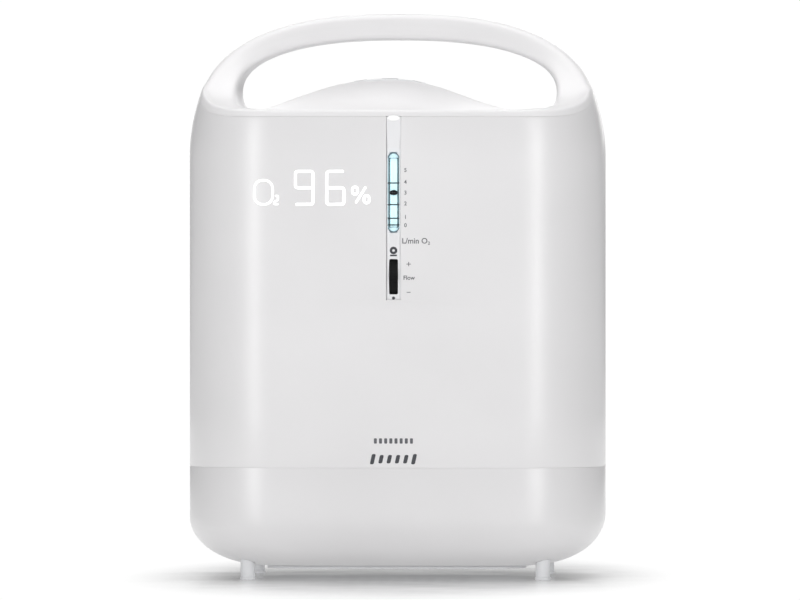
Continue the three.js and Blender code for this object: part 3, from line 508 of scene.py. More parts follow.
def bezel_finish():
    """The strip's plastic, with a painted cyan glow near the lit tube that runs along its middle."""
    look = Shading(moulded("bezel_plastic", (230, 230, 232), 0.38, coat=0.2))
    axes = look.tree.nodes.new("ShaderNodeSeparateXYZ")
    look.feed(axes, {"Vector": look.place})
    low, high = node_box("flow_tube")
    half, middle = (high.z - low.z) / 2, (low.z + high.z) / 2
    reach = look.maths("ABSOLUTE", look.maths("SUBTRACT", axes.outputs["Z"], middle * MM))
    beyond = look.ranged(reach, (half + 1) * MM, (half + 8) * MM, 1, 0)
    near = look.ranged(look.maths("ABSOLUTE", axes.outputs["X"]), 4 * MM, 6.5 * MM, 1, 0.25)
    # painted glow: emission on the strip near the tube, fading along and across it
    return look.surface({
        "Emission Color": (*linear(140, 200, 225), 1),
        "Emission Strength": look.maths("MULTIPLY", look.maths("MULTIPLY", beyond, near), 0.05),
    })


def ink(name, colour):
    """Screen-printed ink: matt, with a slightly broken cover."""
    return moulded(name, colour, 0.6, grain=0.15, texture=2500, fade=0.15)


SHELL = moulded("shell_plastic", (224, 223, 224), 0.36, coat=0.9)
COVER = moulded("cover_plastic", (229, 228, 229), 0.42, coat=0.2)
TRIM = moulded("trim_plastic", (230, 231, 233), 0.5)
DARK = moulded("dark_plastic", (44, 45, 48), 0.45, grain=0.25, texture=1400)
STEEL = metal("bright_steel", (120, 4.0, (1, 1, 14)), (168, 170, 174), (196, 198, 201), (0.24, 0.4))[0].owner
COPPER = metal("copper_coil", (260, 3.0, (1, 1, 6)), (150, 84, 50), (206, 130, 86), (0.25, 0.45))[0].owner
BRASS = metal("brass", (200, 3.0, (8, 1, 1)), (176, 142, 74), (214, 182, 112), (0.25, 0.4))[0].owner
ALLOY = cast_alloy()
RUBBER = moulded("soft_rubber", (58, 59, 62), 0.82, grain=0.4, texture=700, fade=0.2)
BOARD = circuit_board()
FOAM = foam()
FELT = felt()
STATOR = lamination()
BEZEL = bezel_finish()
TUBE = glass("tube_plastic", (98, 114, 122), 0.08, (255, 255, 255), 0.5, 0.26, 0.6, 0.02, 0.96)
BOTTLE = glass("bottle_plastic", (214, 224, 229), 0.05, (247, 251, 252), least=0.05, most=0.6)
WATER = glass("water", (206, 222, 229), 0.02, (240, 248, 251), least=0.03, most=0.4)
FROSTED = glass("tube_frosted", (214, 222, 226), 0.25, (228, 234, 236))
TUBE_GLOW = glow("tube_glow", (218, 250, 255), 0.85)
DIGIT_GLOW = glow("digit_glow", (255, 255, 255), 0.55)
DIM_GLOW = glow("symbol_glow", (255, 255, 255), 0.30)
CAP = lit_cap()
GREY_INK = ink("grey_ink", (96, 97, 102))
DARK_INK = ink("dark_ink", (66, 67, 72))
TEAL_MARK = ink("teal_mark", (38, 58, 68))
BLACK = moulded("black_gloss", (12, 12, 14), 0.34, grain=0.1, texture=1600, specular=0.2)
FLOAT_BLACK = moulded("float_black", (6, 7, 12), 0.4)
PANEL_FILM = moulded("panel_film", (214, 215, 219), 0.3, coat=0.1)
# near white: partly the pad's plastic, partly a painted highlight
PAD = moulded("pad_plastic", (253, 253, 253), 0.2, coat=0.6)
BUTTON = moulded("button_plastic", (230, 230, 232), 0.4)

# ---------------- casing


def wall_column(sign, turn, inset):
    """A point of the rear half in plan: on an upright corner, or at a side's split if turn is None."""
    if turn is None:
        return sign * (SIDE - inset), GAP / 2
    reach = CORNER - inset
    x = sign * (SIDE - inset - reach) + reach * math.cos(turn)
    return x, BACK - inset - reach + reach * math.sin(turn)


def rim_at(sign, turn):
    """Height of the rim where it crosses a column, found by halving the range of heights."""
    low, high = RIM, RIM + SWEEP_RISE
    for _ in range(24):
        middle = (low + high) / 2
        if middle > rim_height(wall_column(sign, turn, float(lean(middle)))[0]):
            high = middle
        else:
            low = middle
    return low


def upper_shell(name, facing, steps=30):
    """Half of the upper casing as a wall with real thickness. Facing is -1 for its front, 1 for its rear."""
    quarter = [math.radians(90 * i / steps) for i in range(steps + 1)]
    columns = [(1, None)] + [(1, turn) for turn in quarter]
    columns += [(-1, turn + math.pi / 2) for turn in quarter] + [(-1, None)]
    rings = []
    for sign, turn in columns:
        top = rim_at(sign, turn)
        heights = [UPPER_FOOT + (LEAN_START - UPPER_FOOT) * i / 6 for i in range(7)]
        heights += [LEAN_START + (top - LEAN_START) * i / 12 for i in range(1, 13)]
        ring = []
        for depth, z in [(0, z) for z in heights] + [(WALL, z) for z in reversed(heights)]:
            x, y = wall_column(sign, turn, float(lean(z)) + depth)
            ring.append((x, facing * y, z))
        rings.append(ring)
    return ring_mesh(name, rings, SHELL)


def front_shell():
    shell = upper_shell("front_casing", -1)
    low, high = node_box("flow_bezel")
    half = high.x + GAP
    cut(shell, block("slot", (-half, FRONT - 10, low.z - GAP), (half, FRONT + 20, TOP)))
    soften(shell, 0.35, 3)
    keep(shell, "root", "shell", "front_shell")


def plan_ring(inset, z):
    """The casing's outline in plan, drawn in by a distance across, along and at its corners."""
    across, along = inset
    outline = rounded_box(across - SIDE, SIDE - across, along - BACK, BACK - along, CORNER - along, 22)
    return [(x, y, z) for x, y in outline]


def edge_ring(degrees, inner):
    """A ring of the rounded lower edge: 0 degrees where the wall starts, 90 at the flat underside."""
    c, s = math.cos(math.radians(degrees)), math.sin(math.radians(degrees))
    normal = Vector((EDGE_RISE * c, EDGE_ACROSS * s)).normalized()
    inset = [reach * (1 - c) + inner * normal.x for reach in (EDGE_ACROSS, EDGE_ALONG)]
    return plan_ring(inset, UNDERSIDE + EDGE_RISE * (1 - s) + inner * normal.y)


def base_casing(name, inner, top, material, steps=16):
    """The lower casing as one filled body, drawn in by a thickness."""
    rings = [edge_ring(90 - 90 * i / steps, inner) for i in range(steps + 1)]
    return ring_mesh(name, rings + [plan_ring((inner, inner), top)], material)


def base_shell():
    shell = base_casing("base_casing", 0, UPPER_FOOT - HAIRLINE, SHELL)
    cut(shell, base_casing("hollow", WALL, BASE_TOP + WALL, None))
    soften(shell, 0.2, 3, angle=60)
    keep(shell, "root", "shell", "base_shell")


def seam_gasket():
    """The soft ring that closes the line between the base and the upper shells."""
    bottom, top = BASE_TOP - 0.5, UPPER_FOOT + 0.5
    corners = [(0.45, bottom), (0.45, top), (1.6, top), (1.6, bottom)]
    rings = [plan_ring((depth, depth), z) for depth, z in corners]
    keep(ring_mesh("seam_gasket", rings, TRIM, loop=True), "root", "light_trim")


# ---------------- handle and cover, as a distance field

# Widths of the fillet where the handle's legs meet the cover: tight inside the arch, wide front and rear.
LEG_FILLET = {"inner": 14.0, "outer": 34.0, "start": 2.0, "reach": 24.0}
LIP_ROUND = 3.0
ARCH_ROUND, HANDLE_ROUND = 5.0, 9.0
FIELD_STEP = 1.4  # spacing of the field's grid


def smooth_max(first, second, width):
    share = np.clip(0.5 + 0.5 * (first - second) / width, 0, 1)
    return second + (first - second) * share + width * share * (1 - share)


def smooth_min(first, second, width):
    return -smooth_max(-first, -second, width)


def arch_distance(x, z, arch):
    """Distance to a superellipse that stands on straight legs, near enough close to its line."""
    power = arch["power"]
    up = np.maximum(z - arch["foot"], 0) / arch["rise"]
    value = ((np.abs(x) / arch["half"]) ** power + up**power) ** (1 / power) - 1
    slope_x, slope_z = np.gradient(value, x[:, 0], z[0])
    return value / np.maximum(np.hypot(slope_x, slope_z), 1e-4)


def case_distance(x, y, z):
    """Distance to the leaning walls, without a top or a bottom."""
    inset = lean(z)
    radius = CORNER - inset
    out_x = np.abs(x) - (SIDE - inset - radius)
    out_y = np.abs(y) - (BACK - inset - radius)
    outside = np.hypot(np.maximum(out_x, 0), np.maximum(out_y, 0))
    return outside + np.minimum(np.maximum(out_x, out_y), 0) - radius


def cover_field(step):
    """The cover and its handle as distances on a grid, with the grid's lowest corner."""
    xs = np.arange(-SIDE, SIDE + step, step)
    ys = np.arange(FRONT - step, BACK + 2 * step, step)
    zs = np.arange(RIM - 9, TOP + 3 * step, step)
    x, z = np.meshgrid(xs, zs, indexing="ij")
    side_view = smooth_max(arch_distance(x, z, ARCH_OUT), -arch_distance(x, z, ARCH_IN), ARCH_ROUND)
    share = np.clip((zs - RIM - SWEEP_RISE) / (TOP - RIM - SWEEP_RISE), -0.4, 1)
    half_depth = GRIP_DEPTH + (LEG_DEPTH - GRIP_DEPTH) * (1 - share) ** LEG_POWER
    grid_x, grid_y, grid_z = xs[:, None, None], ys[None, :, None], zs[None, None, :]
    handle = smooth_max(side_view[:, None, :], np.abs(grid_y) - half_depth, HANDLE_ROUND)
    surface = cover_height(xs[:, None], ys[None, :])
    slope_x, slope_y = np.gradient(surface, step)
    steep = np.sqrt(1 + slope_x**2 + slope_y**2)[:, :, None]
    above = (grid_z - surface[:, :, None]) / steep
    case = case_distance(grid_x, grid_y, grid_z)
    hollow = smooth_max(case + WALL, above + WALL, LIP_ROUND)
    beyond = np.clip((np.abs(grid_y) - half_depth + LEG_FILLET["start"]) / LEG_FILLET["reach"], 0, 1)
    blend = LEG_FILLET["inner"] + (LEG_FILLET["outer"] - LEG_FILLET["inner"]) * beyond
    solid = smooth_max(smooth_min(above, handle, blend), case, LIP_ROUND)
    return np.maximum(solid, -hollow), (xs[0], ys[0], zs[0])


def field_mesh(name, field, corner, step, material):
    """The surface where a field of distances is zero."""
    grid = openvdb.FloatGrid(3 * step)
    grid.copyFromArray(np.clip(field, -3 * step, 3 * step).astype(np.float32))
    points, quads = grid.convertToQuads()
    points = np.asarray(points) * step + np.array(corner)
    return new_object(name, points.tolist(), quads.tolist(), material, 60)


def panel_hole():
    half, depth = PANEL["half"] + GAP, PANEL["depth"] + GAP
    outline = [(PANEL["x"] + half * u, depth * v) for u, v in circle((0, 0), 1, 72)]
    return prism("panel_hole", outline, RIM, LEVEL + HILL_RISE + 5, "z")


def below_rim(name, gap):
    """Everything under the rim's line, as a cutter."""
    reach = SIDE + 20
    shares = [math.sin(math.radians(90 * i / 40)) ** (2 / SWEEP_POWER) for i in range(41)]
    xs = [SWEEP_START + SWEEP_WIDTH * share for share in shares]
    right = [(x, float(rim_height(x)) + gap) for x in xs] + [(reach, RIM + SWEEP_RISE + gap)]
    left = [(-x, z) for x, z in reversed(right)]
    return prism(name, left + right + [(reach, RIM - 60), (-reach, RIM - 60)], -2 * BACK, 2 * BACK, "y")


def handle_cover():
    field, corner = cover_field(FIELD_STEP)
    cover = field_mesh("handle_and_cover", field, corner, FIELD_STEP, COVER)
    relax = cover.modifiers.new("relax", "SMOOTH")
    relax.factor = 0.5
    relax.iterations = 3
    cut(cover, below_rim("rim_cutter", HAIRLINE), panel_hole(), smooth=40, solver="MANIFOLD")
    keep(cover, "root", "cover", "handle_cover")


# ---------------- feet, base plate and screws

SEAM_CUT = 60.0  # high enough to clear everything on the lower edge
PLATE_CORNER = 30
VENT_COUNT, VENT_PITCH, VENT_ROW = 9, 14, 38  # slots in a row, their spacing, and a row's place
PLATE_SCREW = (95, 60)
SHELL_SCREW_X, SHELL_SCREW_HEIGHTS = 118, (118, 206)


def feet():
    for node in [f"foot_{end}_{side}" for side in ("left", "right") for end in ("front", "rear")]:
        low, high, centre = stand(node)
        radius = (high.x - low.x) / 2
        pad = [(0, 0.4), (radius - 2.6, 0.4), (radius - 2.0, 0)] + arc((radius - 0.8, 0.8), 0.8, -90, 0)
        post = [(radius, 2.2), (radius - 0.5, 2.8), (radius - 0.5, high.z + 3), (0, high.z + 3)]
        foot = lathe(node + "_pad", pad + post, (*centre[:2], 0), TRIM)
        cut(foot, base_casing("casing_form", -0.1, SEAM_CUT, None))
        keep(foot, "root", "light_trim", node)


def screw_head(name, centre, axis, facing, radius=3.2):
    """A countersunk screw head with a cross recess, facing along an axis."""
    profile = [(0, -2.0), (radius * 0.5, -2.0), (radius, -0.3)]
    profile += arc((radius - 0.3, 0), 0.3, 0, 90) + [(0, 0.3)]
    head = lathe(name, [(r, h * facing) for r, h in profile], centre, STEEL, axis, 32)
    arm, width = radius * 0.62, radius * 0.14
    across, up = {"y": (centre[0], centre[2]), "z": (centre[0], centre[1])}[axis]
    level = centre[1] if axis == "y" else centre[2]
    ends = sorted((level + facing * 1.0, level - facing * 0.7))
    for half, rise in ((arm, width), (width, arm)):
        outline = [(across - half, up - rise), (across + half, up - rise), (across + half, up + rise)]
        cut(head, prism("recess", outline + [(across - half, up + rise)], *ends, axis))
    keep(head, "root", "shaft_steel")


def base_plate():
    low, high = node_box("base_plate")
    outline = rounded_box(low.x, high.x, low.y, high.y, PLATE_CORNER, 10)
    plate = prism("underside_plate", outline, low.z, high.z, "z", TRIM)
    for y in (-VENT_ROW, VENT_ROW):
        for k in range(VENT_COUNT):
            x = (k - VENT_COUNT // 2) * VENT_PITCH
            slot = rounded_box(x - 3, x + 3, y - 16, y + 16, 2.9)
            cut(plate, prism("vent", slot, low.z - 1, high.z + 1, "z"))
    soften(plate)
    keep(plate, "root", "light_trim", "base_plate")
    for side, sx in (("left", -1), ("right", 1)):
        for end, sy in (("front", -1), ("rear", 1)):
            place = (sx * PLATE_SCREW[0], sy * PLATE_SCREW[1], low.z)
            screw_head(f"plate_screw_{side}_{end}", place, "z", -1)


def shell_screws():
    for side, sx in (("left", -1), ("right", 1)):
        for z in SHELL_SCREW_HEIGHTS:
            place = (sx * SHELL_SCREW_X, -front_y(SHELL_SCREW_X) - 0.4, z)
            screw_head(f"shell_screw_{side}_{z}", place, "y", 1, 3.0)


# ---------------- flow meter strip

TUBE_SHORT, CAP_SHORT = 3.2, 2.6  # how far the tube's and its upper cap's tops stay below the CAD's
WINDOW = {"half": 3.9, "bottom": 250.6, "top": 281.4}  # the thumbwheel's opening
MARKS = [311.0, 318.2, 330.0, 339.4, 348.8, 359.1]  # heights of the scale's whole numbers
RINGS = {0: 311.2, 1: 317.0, 2: 328.9, 4: 347.8}  # heights of the lines round the tube, by their number


def shown_tube():
    """The tube's box as drawn, with its radius and its axis."""
    low, high, foot = stand("flow_tube")
    high.z -= TUBE_SHORT
    return low, high, (high.x - low.x) / 2, (0, foot[1], 0)


def flow_bezel():
    low, high = node_box("flow_bezel")
    radius, axis = shown_tube()[2:]
    radius += GAP
    foot = node_box("tube_cap_bottom")[0].z - GAP
    tip = node_box("tube_cap_top")[1].z - CAP_SHORT + GAP
    outline = rounded_box(low.x, high.x + GAP - HAIRLINE, low.z - GAP + HAIRLINE, high.z, 0.8)
    strip = prism("flow_strip", outline, low.y, high.y, "y", BEZEL)
    cut(strip, lathe("groove", [(0, foot), (radius, foot), (radius, tip), (0, tip)], axis, None))
    mouth = rounded_box(-radius, radius, foot, tip, radius - 0.01, 12)
    cut(strip, prism("mouth", mouth, low.y - 2, axis[1], "y"))
    window = rounded_box(-WINDOW["half"], WINDOW["half"], WINDOW["bottom"], WINDOW["top"], 1.5)
    cut(strip, prism("window", window, low.y - 2, high.y + 2, "y"))
    wheel_top = node_box("thumbwheel")[1].z
    cut(strip, block("pocket", (-9, low.y + 2.8, 0), (9, high.y + 2, wheel_top + 2)))
    soften(strip, 0.2)
    keep(strip, "root", "bezel", "flow_bezel")


def strip_scoop():
    """The pad at the strip's top, bellied out under the cover's lip; its near-white colour is partly a
    painted highlight.
    """
    low, high = node_box("flow_bezel")
    across, up, out, middle = high.x - 0.3, 2.4, 1.5, high.z - 1.3
    belly = [(across * u, -out * v) for u, v in arc((0, 0), 1, 0, 90)]
    pad = lathe("strip_scoop", [(0, 0)] + belly, (0, low.y + 0.6, middle), PAD, "y", 40)
    for vertex in pad.data.vertices:
        vertex.co.z += (vertex.co.z - middle * MM) * (up / across - 1)
    finish_mesh(pad.data, 60)
    keep(pad, "root", "cover")


def flow_tube():
    low, high, outer, axis = shown_tube()
    bore = outer - 0.8
    ring = [(outer, low.z), (outer, high.z), (bore, high.z), (bore, low.z)]
    tube = lathe("gauge_tube", ring, axis, TUBE, segments=72, closed=True)
    keep(tube, "root", "clear_tube", "flow_tube")
    tip, tail = node_box("tube_cap_top")[1].z - CAP_SHORT, node_box("tube_cap_bottom")[0].z
    for name, facing, foot, end in (("top", 1, high.z + GAP, tip), ("bottom", -1, low.z - GAP, tail)):
        dome = [(outer * u, abs(end - foot) * v) for u, v in arc((0, 0), 1, 0, 90, 9)]
        profile = [(0, -1.2), (bore - 0.4, -1.2), (bore - 0.4, 0)] + dome
        cap = lathe(f"tube_cap_{name}_dome", [(r, foot + facing * h) for r, h in profile], axis, CAP)
        keep(cap, "root", "tube_cap", "tube_cap_" + name)
    for level, z in RINGS.items():
        band = arc((outer + 0.02, z), 0.55, 0, 330, 11)
        keep(lathe(f"gauge_ring_{level}", band, axis, TEAL_MARK, closed=True), "root", "float_black")


def tube_light():
    """The lit liner behind the tube: half a pipe in the groove."""
    low, high, outer, axis = shown_tube()
    outline = arc(axis[:2], outer + 0.22, 0, 180, 24) + arc(axis[:2], outer + 0.05, 180, 0, 24)
    keep(prism("tube_light", outline, low.z, high.z, "z", TUBE_GLOW), "root", "diffuser_white")


def flow_float():
    low, high, foot = stand("flow_float")
    radius, half = (high.x - low.x) / 2, (high.z - low.z) / 2
    side = [(radius * u, half * 0.96 * v) for u, v in arc((0, 0), 1, -78, 78, 13)]
    profile = [(0, -half)] + side + [(0, half)]
    ball = lathe("gauge_float", profile, (0, foot[1], low.z + half), FLOAT_BLACK, segments=48)
    keep(ball, "float", "float_black", "flow_float")


def thumbwheel():
    """A finely ribbed wheel on a stepped spindle."""
    low, high, foot = stand("thumbwheel")
    half, radius = -low.x, (high.z - low.z) / 2
    middle = (foot[1], low.z + radius)
    ribs, depths = 96, (0.0, 0.12, 0.42, 0.12)
    around = circle((0, 0), 1, ribs * len(depths))
    reaches = [radius - depth for depth in depths] * ribs
    rim = [(middle[0] + reach * u, middle[1] + reach * v) for reach, (u, v) in zip(reaches, around)]
    wheel = prism("flow_wheel", rim, -half, half, "x", BLACK, smooth=60)
    hub = [(0, half - 1), (4.4, half - 1), (4.4, half + 1.2), (2.6, half + 1.2), (2.6, high.x - 0.4)]
    hub += [(2.2, high.x), (0, high.x)]
    keep(wheel, "thumbwheel", "wheel_black", "thumbwheel")
    keep(lathe("flow_spindle", hub, (0, *middle), STEEL, "x", 40), "thumbwheel", "shaft_steel")


# ---------------- print and display on the front

DASHES, DASH_PITCH = 8, 4.5
BARS, BAR_PITCH, BAR_SLANT = 6, 7.2, 0.22
MARK_Z = 106.8  # height of the slanted bars' middle
CAPITAL_SHARE = 0.7  # a capital's height as a share of the type's size
PRINT_IN, PRINT_OUT = 0.06, 0.1  # how far printed shapes reach into a face, and stand out of it
STROKE_PROUD = 0.35  # how far the lit strokes stand out
DISPLAY_FOOT, DISPLAY_TOP = 329.2, 358.0
THIN, THICK = 2.2, 2.5  # widths of the lit strokes


def lettering(name, text, height, x, z):
    """Generic words or numbers, printed on the front face round a middle."""
    curve = bpy.data.curves.new(name, "FONT")
    curve.body = text
    curve.size = height * MM / CAPITAL_SHARE
    curve.extrude = 0.06 * MM
    curve.offset = 0.09 * MM
    curve.align_x = "CENTER"
    mesh = curve_mesh(name, curve)
    place = Vector((x, FRONT, z - height / 2)) * MM
    mesh.transform(Matrix.Translation(place) @ Matrix.Rotation(math.pi / 2, 4, "X"))
    mesh.materials.append(GREY_INK)
    keep(link(name, mesh), "root", "float_black")


def printed(name, outline, material, face=FRONT):
    """A flat printed shape on the front face, or on the strip's face."""
    keep(prism(name, outline, face - PRINT_IN, face + PRINT_OUT, "y", material), "root", "float_black")


def front_print():
    for level, z in enumerate(MARKS):
        lettering(f"scale_{level}", str(level), 3.3, 10.5, z)
    lettering("scale_unit", "L/min O", 4.7, 18.6, 297.4)
    lettering("scale_unit_sub", "2", 2.6, 31.0, 295.4)
    lettering("flow_word", "Flow", 3.6, 13.6, 265.2)
    printed("plus_bar", rounded_box(11.4, 15.2, 276.7, 277.3, 0.2), GREY_INK)
    printed("plus_post", rounded_box(13.0, 13.6, 275.1, 278.9, 0.2), GREY_INK)
    printed("minus_bar", rounded_box(11.6, 15.0, 252.1, 252.7, 0.2), GREY_INK)
    face = node_box("flow_bezel")[0].y
    band = [(3.3, -0.08), (3.3, 0.1), (1.15, 0.1), (1.15, -0.08)]
    keep(lathe("strip_ring", band, (0, face, 288.9), DARK_INK, "y", 48, closed=True), "root", "float_black")
    printed("strip_bar", rounded_box(-3.0, 3.0, 283.9, 285.3, 0.5), DARK_INK, face)
    printed("strip_dot", circle((0, 247.3), 1.4, 32), DARK_INK, face)


def generic_mark():
    """A plain graphic where makers put a name: a row of small blocks over a row of slanted bars."""
    for k in range(DASHES):
        x = (k - (DASHES - 1) / 2) * DASH_PITCH
        printed(f"dash_{k}", rounded_box(x - 1.3, x + 1.3, 120.4, 125.0, 0.6, 3), GREY_INK)
    for k in range(BARS):
        x = (k - (BARS - 1) / 2) * BAR_PITCH
        half = 4.5 if k in (0, BARS - 1) else 3.7
        bar = rounded_box(x - 1.7, x + 1.7, MARK_Z - half, MARK_Z + half, 1.2, 4)
        printed(f"bar_{k}", [(u + (v - MARK_Z) * BAR_SLANT, v) for u, v in bar], DARK_INK)


def rounded_path(corners, radius, closed=False):
    """A path through corner points, with each inner corner rounded."""
    corners = [Vector(corner) for corner in corners]
    path = []
    for i, here in enumerate(corners):
        if not closed and i in (0, len(corners) - 1):
            path.append(here)
            continue
        before = (corners[i - 1] - here).normalized() * radius
        after = (corners[(i + 1) % len(corners)] - here).normalized() * radius
        for k in range(9):
            turn = math.pi / 2 * k / 8
            path.append(here + before * (1 - math.sin(turn)) + after * (1 - math.cos(turn)))
    return path


def round_ends(path, width):
    """A path with its radius at each point, drawn in at both ends so that the bead ends round."""
    ends = []
    for here, inner in ((path[0], path[1]), (path[-1], path[-2])):
        along = (here - inner).normalized()
        shares = (0.0, 0.35, 0.65, 0.85, 0.97)
        ends.append([(here + along * (share - 1) * width / 2, math.sqrt(1 - share**2)) for share in shares])
    return ends[0][::-1] + [(point, 1.0) for point in path[1:-1]] + ends[1]


def stroke(name, path, width, material, closed=False):
    """A rounded bead laid along a path on the front face, which follows the face's curve."""
    path = [(point, 1.0) for point in path] if closed else round_ends(path, width)
    curve = bpy.data.curves.new(name, "CURVE")
    curve.dimensions = "3D"
    curve.bevel_depth = width / 2 * MM
    curve.bevel_resolution = 3
    line = curve.splines.new("POLY")
    line.points.add(len(path) - 1)
    for point, (place, radius) in zip(line.points, path):
        point.co = (place[0] * MM, 0, place[1] * MM, 1)
        point.radius = radius
    line.use_cyclic_u = closed
    mesh = curve_mesh(name, curve)
    for vertex in mesh.vertices:
        vertex.co.y = vertex.co.y / (width / 2) * STROKE_PROUD + front_y(vertex.co.x / MM) * MM
    mesh.materials.clear()
    mesh.materials.append(material)
    finish_mesh(mesh, 60)
    keep(link(name, mesh), "root", "diffuser_white")


def display():
    """The lit read-out that shines through the front: the gas, its share and a percent sign."""
    low, high = DISPLAY_FOOT, DISPLAY_TOP
    middle = (low + high) / 2
    oh = [(-105.6, low), (-105.6, 350.2), (-121.6, 350.2), (-121.6, low)]
    stroke("shown_gas", rounded_path(oh, 7.0, True), THIN, DIM_GLOW, True)
    two = [(-103.8, 336.6), (-100.9, 336.6), (-100.9, 333.2)]
    two += [(-104.3, 330.9), (-104.3, 329.3), (-100.4, 329.3)]
    stroke("shown_gas_sub", rounded_path(two, 0.7), 1.8, DIM_GLOW)
    left, right = -85.6, -70.2
    nine = [(left, low), (right, low), (right, high), (left, high), (left, middle), (right - 1, middle)]
    stroke("shown_nine", rounded_path(nine, 2.2), THICK, DIGIT_GLOW)
    left, right = -58.2, -43.2
    six = [(right, high), (left, high), (left, low), (right, low), (right, middle), (left + 1, middle)]
    stroke("shown_six", rounded_path(six, 2.2), THICK, DIGIT_GLOW)
    for name, x, z in (("high", -33.6, 341.2), ("low", -23.4, 333.6)):
        ring = [(x + 2.3, z - 3.2), (x + 2.3, z + 3.2), (x - 2.3, z + 3.2), (x - 2.3, z - 3.2)]
        stroke("shown_percent_" + name, rounded_path(ring, 2.2, True), THIN, DIGIT_GLOW, True)
    slash = [Vector((-33.0, 330.2)), Vector((-28.5, 337.4)), Vector((-24.0, 344.6))]
    stroke("shown_percent_slash", slash, THIN, DIGIT_GLOW)

# ---------------- back of the casing

REAR_CUT = (BACK - 20, BACK + 20)  # from and to where the cutters of the rear wall's holes reach
HOLE_CORNER = {"filter_door": 5.0, "bottle_bay": 9.0, "exhaust_grille": 5.0, "power_inlet": 2.0}
SLAT_THICK, SLAT_FALL = 1.3, 0.75  # a slat's thickness, and its fall as a share of its depth
INLET_WALL, INLET_CLIP = 3.0, 4.5  # the socket's wall, and its clipped lower corners
INLET_PINS = {"live": (-7, 1.5), "neutral": (7, 1.5), "earth": (0, -2.5)}  # from the socket's middle


def rear_shell():
    shell = upper_shell("rear_casing", 1)
    holes = [box_outline(*node_box(node), GAP, radius) for node, radius in HOLE_CORNER.items()]
    low, high = node_box("breaker_button")
    middle = (low + high) / 2
    holes.append(circle((middle.x, middle.z), (high.x - low.x) / 2 + GAP))
    for outline in holes:
        cut(shell, prism("hole", outline, *REAR_CUT, "y"))
    soften(shell, 0.6, 3)
    keep(shell, "root", "shell", "rear_shell")


def louvres(name, low, high, pitch, material):
    """A row of slats that slope down towards the outside, within a box."""
    count = int((high.z - low.z) / pitch)
    drop = (high.y - low.y) * SLAT_FALL / 2
    slats = []
    for i in range(count):
        z = low.z + (i + 0.5) * (high.z - low.z) / count
        outline = [(low.y, z + drop), (low.y, z + drop + SLAT_THICK)]
        outline += [(high.y, z - drop + SLAT_THICK), (high.y, z - drop)]
        slats.append(prism("slat", outline, low.x, high.x, "x", material))
    return soften(joined(name, slats), 0.25)


def vent_panel(node, name, body, slot, material, border, pitch):
    """A framed opening with slats, and uprights behind them that hold them together."""
    low, high = node_box(node)
    outline = box_outline(low, high, 0, HOLE_CORNER[node] - GAP)
    plate = prism(name, outline, low.y, high.y, "y", material)
    frame_edge = Vector((border[0], 0, border[1]))
    low, high = low + frame_edge, high - frame_edge
    cut(plate, prism("opening", box_outline(low, high, 0, 3.0), low.y - 1, high.y + 1, "y"))
    soften(plate, 0.5, 3)
    overlap = Vector((0.4, -0.3, 0))  # into the frame's sides, but short of its faces
    slats = louvres(name + "_slats", low - overlap, high + overlap, pitch, material)
    posts = []
    for k in (1, 2):
        x = low.x + (high.x - low.x) * k / 3
        ends = (x - 0.8, low.y + 0.1, low.z - 0.4), (x + 0.8, low.y + 0.9, high.z + 0.4)
        posts.append(block("post", *ends, material))
    keep(slats, body, slot)
    keep(joined(name + "_posts", posts), body, slot)
    return plate


def filter_door():
    plate = vent_panel("filter_door", "intake_door", "filter_door", "shell", SHELL, (9, 15), 7.0)
    low, high, foot = stand("filter_door")
    pull = rounded_box(foot[0] - 13, foot[0] + 13, high.z - 9.5, high.z - 4, 2.6)
    cut(plate, prism("finger_pull", pull, high.y - 1.6, high.y + 1, "y"))
    keep(plate, "filter_door", "shell", "filter_door")
    rod = arc((1.0, -5.5), 0.3, -90, 0, 3) + arc((1.0, 5.5), 0.3, 0, 90, 3)
    for side, x in (("left", low.x + 12), ("right", high.x - 12)):
        place = (x, low.y + 1.3, low.z + 1.2)
        pin = lathe("door_hinge_" + side, [(0, -5.8)] + rod + [(0, 5.8)], place, SHELL, "x", 24)
        keep(pin, "filter_door", "shell")


def filter_foam():
    low, high = node_box("filter_foam")
    pad = prism("intake_foam", box_outline(low, high, 0, 3), low.y, high.y, "y", FOAM)
    keep(soften(pad, 1.2, 3), "filter_door", "foam", "filter_foam")


def exhaust_grille():
    plate = vent_panel("exhaust_grille", "exhaust_panel", "root", "light_trim", TRIM, (6, 6), 6.0)
    keep(plate, "root", "light_trim", "exhaust_grille")


def power_inlet():
    low, high = node_box("power_inlet")
    outline = box_outline(low, high, 0, HOLE_CORNER["power_inlet"] - GAP)
    body = prism("inlet_body", outline, low.y, high.y, "y", DARK)
    x0, x1, z0, z1 = low.x + INLET_WALL, high.x - INLET_WALL, low.z + INLET_WALL, high.z - INLET_WALL
    recess = [(x0 + INLET_CLIP, z0), (x1 - INLET_CLIP, z0), (x1, z0 + INLET_CLIP)]
    recess += [(x1, z1), (x0, z1), (x0, z0 + INLET_CLIP)]
    cut(body, prism("recess", recess, BACK - 20, BACK + 1, "y"))
    keep(soften(body), "root", "dark_plastic", "power_inlet")
    middle = (low + high) / 2
    for name, (across, up) in INLET_PINS.items():
        x, z = middle.x + across, middle.z + up
        outline = rounded_box(x - 1, x + 1, z - 2.5, z + 2.5, 0.5, 3)
        pin = prism("inlet_pin_" + name, outline, BACK - 21, BACK - 5, "y", STEEL)
        keep(soften(pin, 0.4), "root", "shaft_steel")


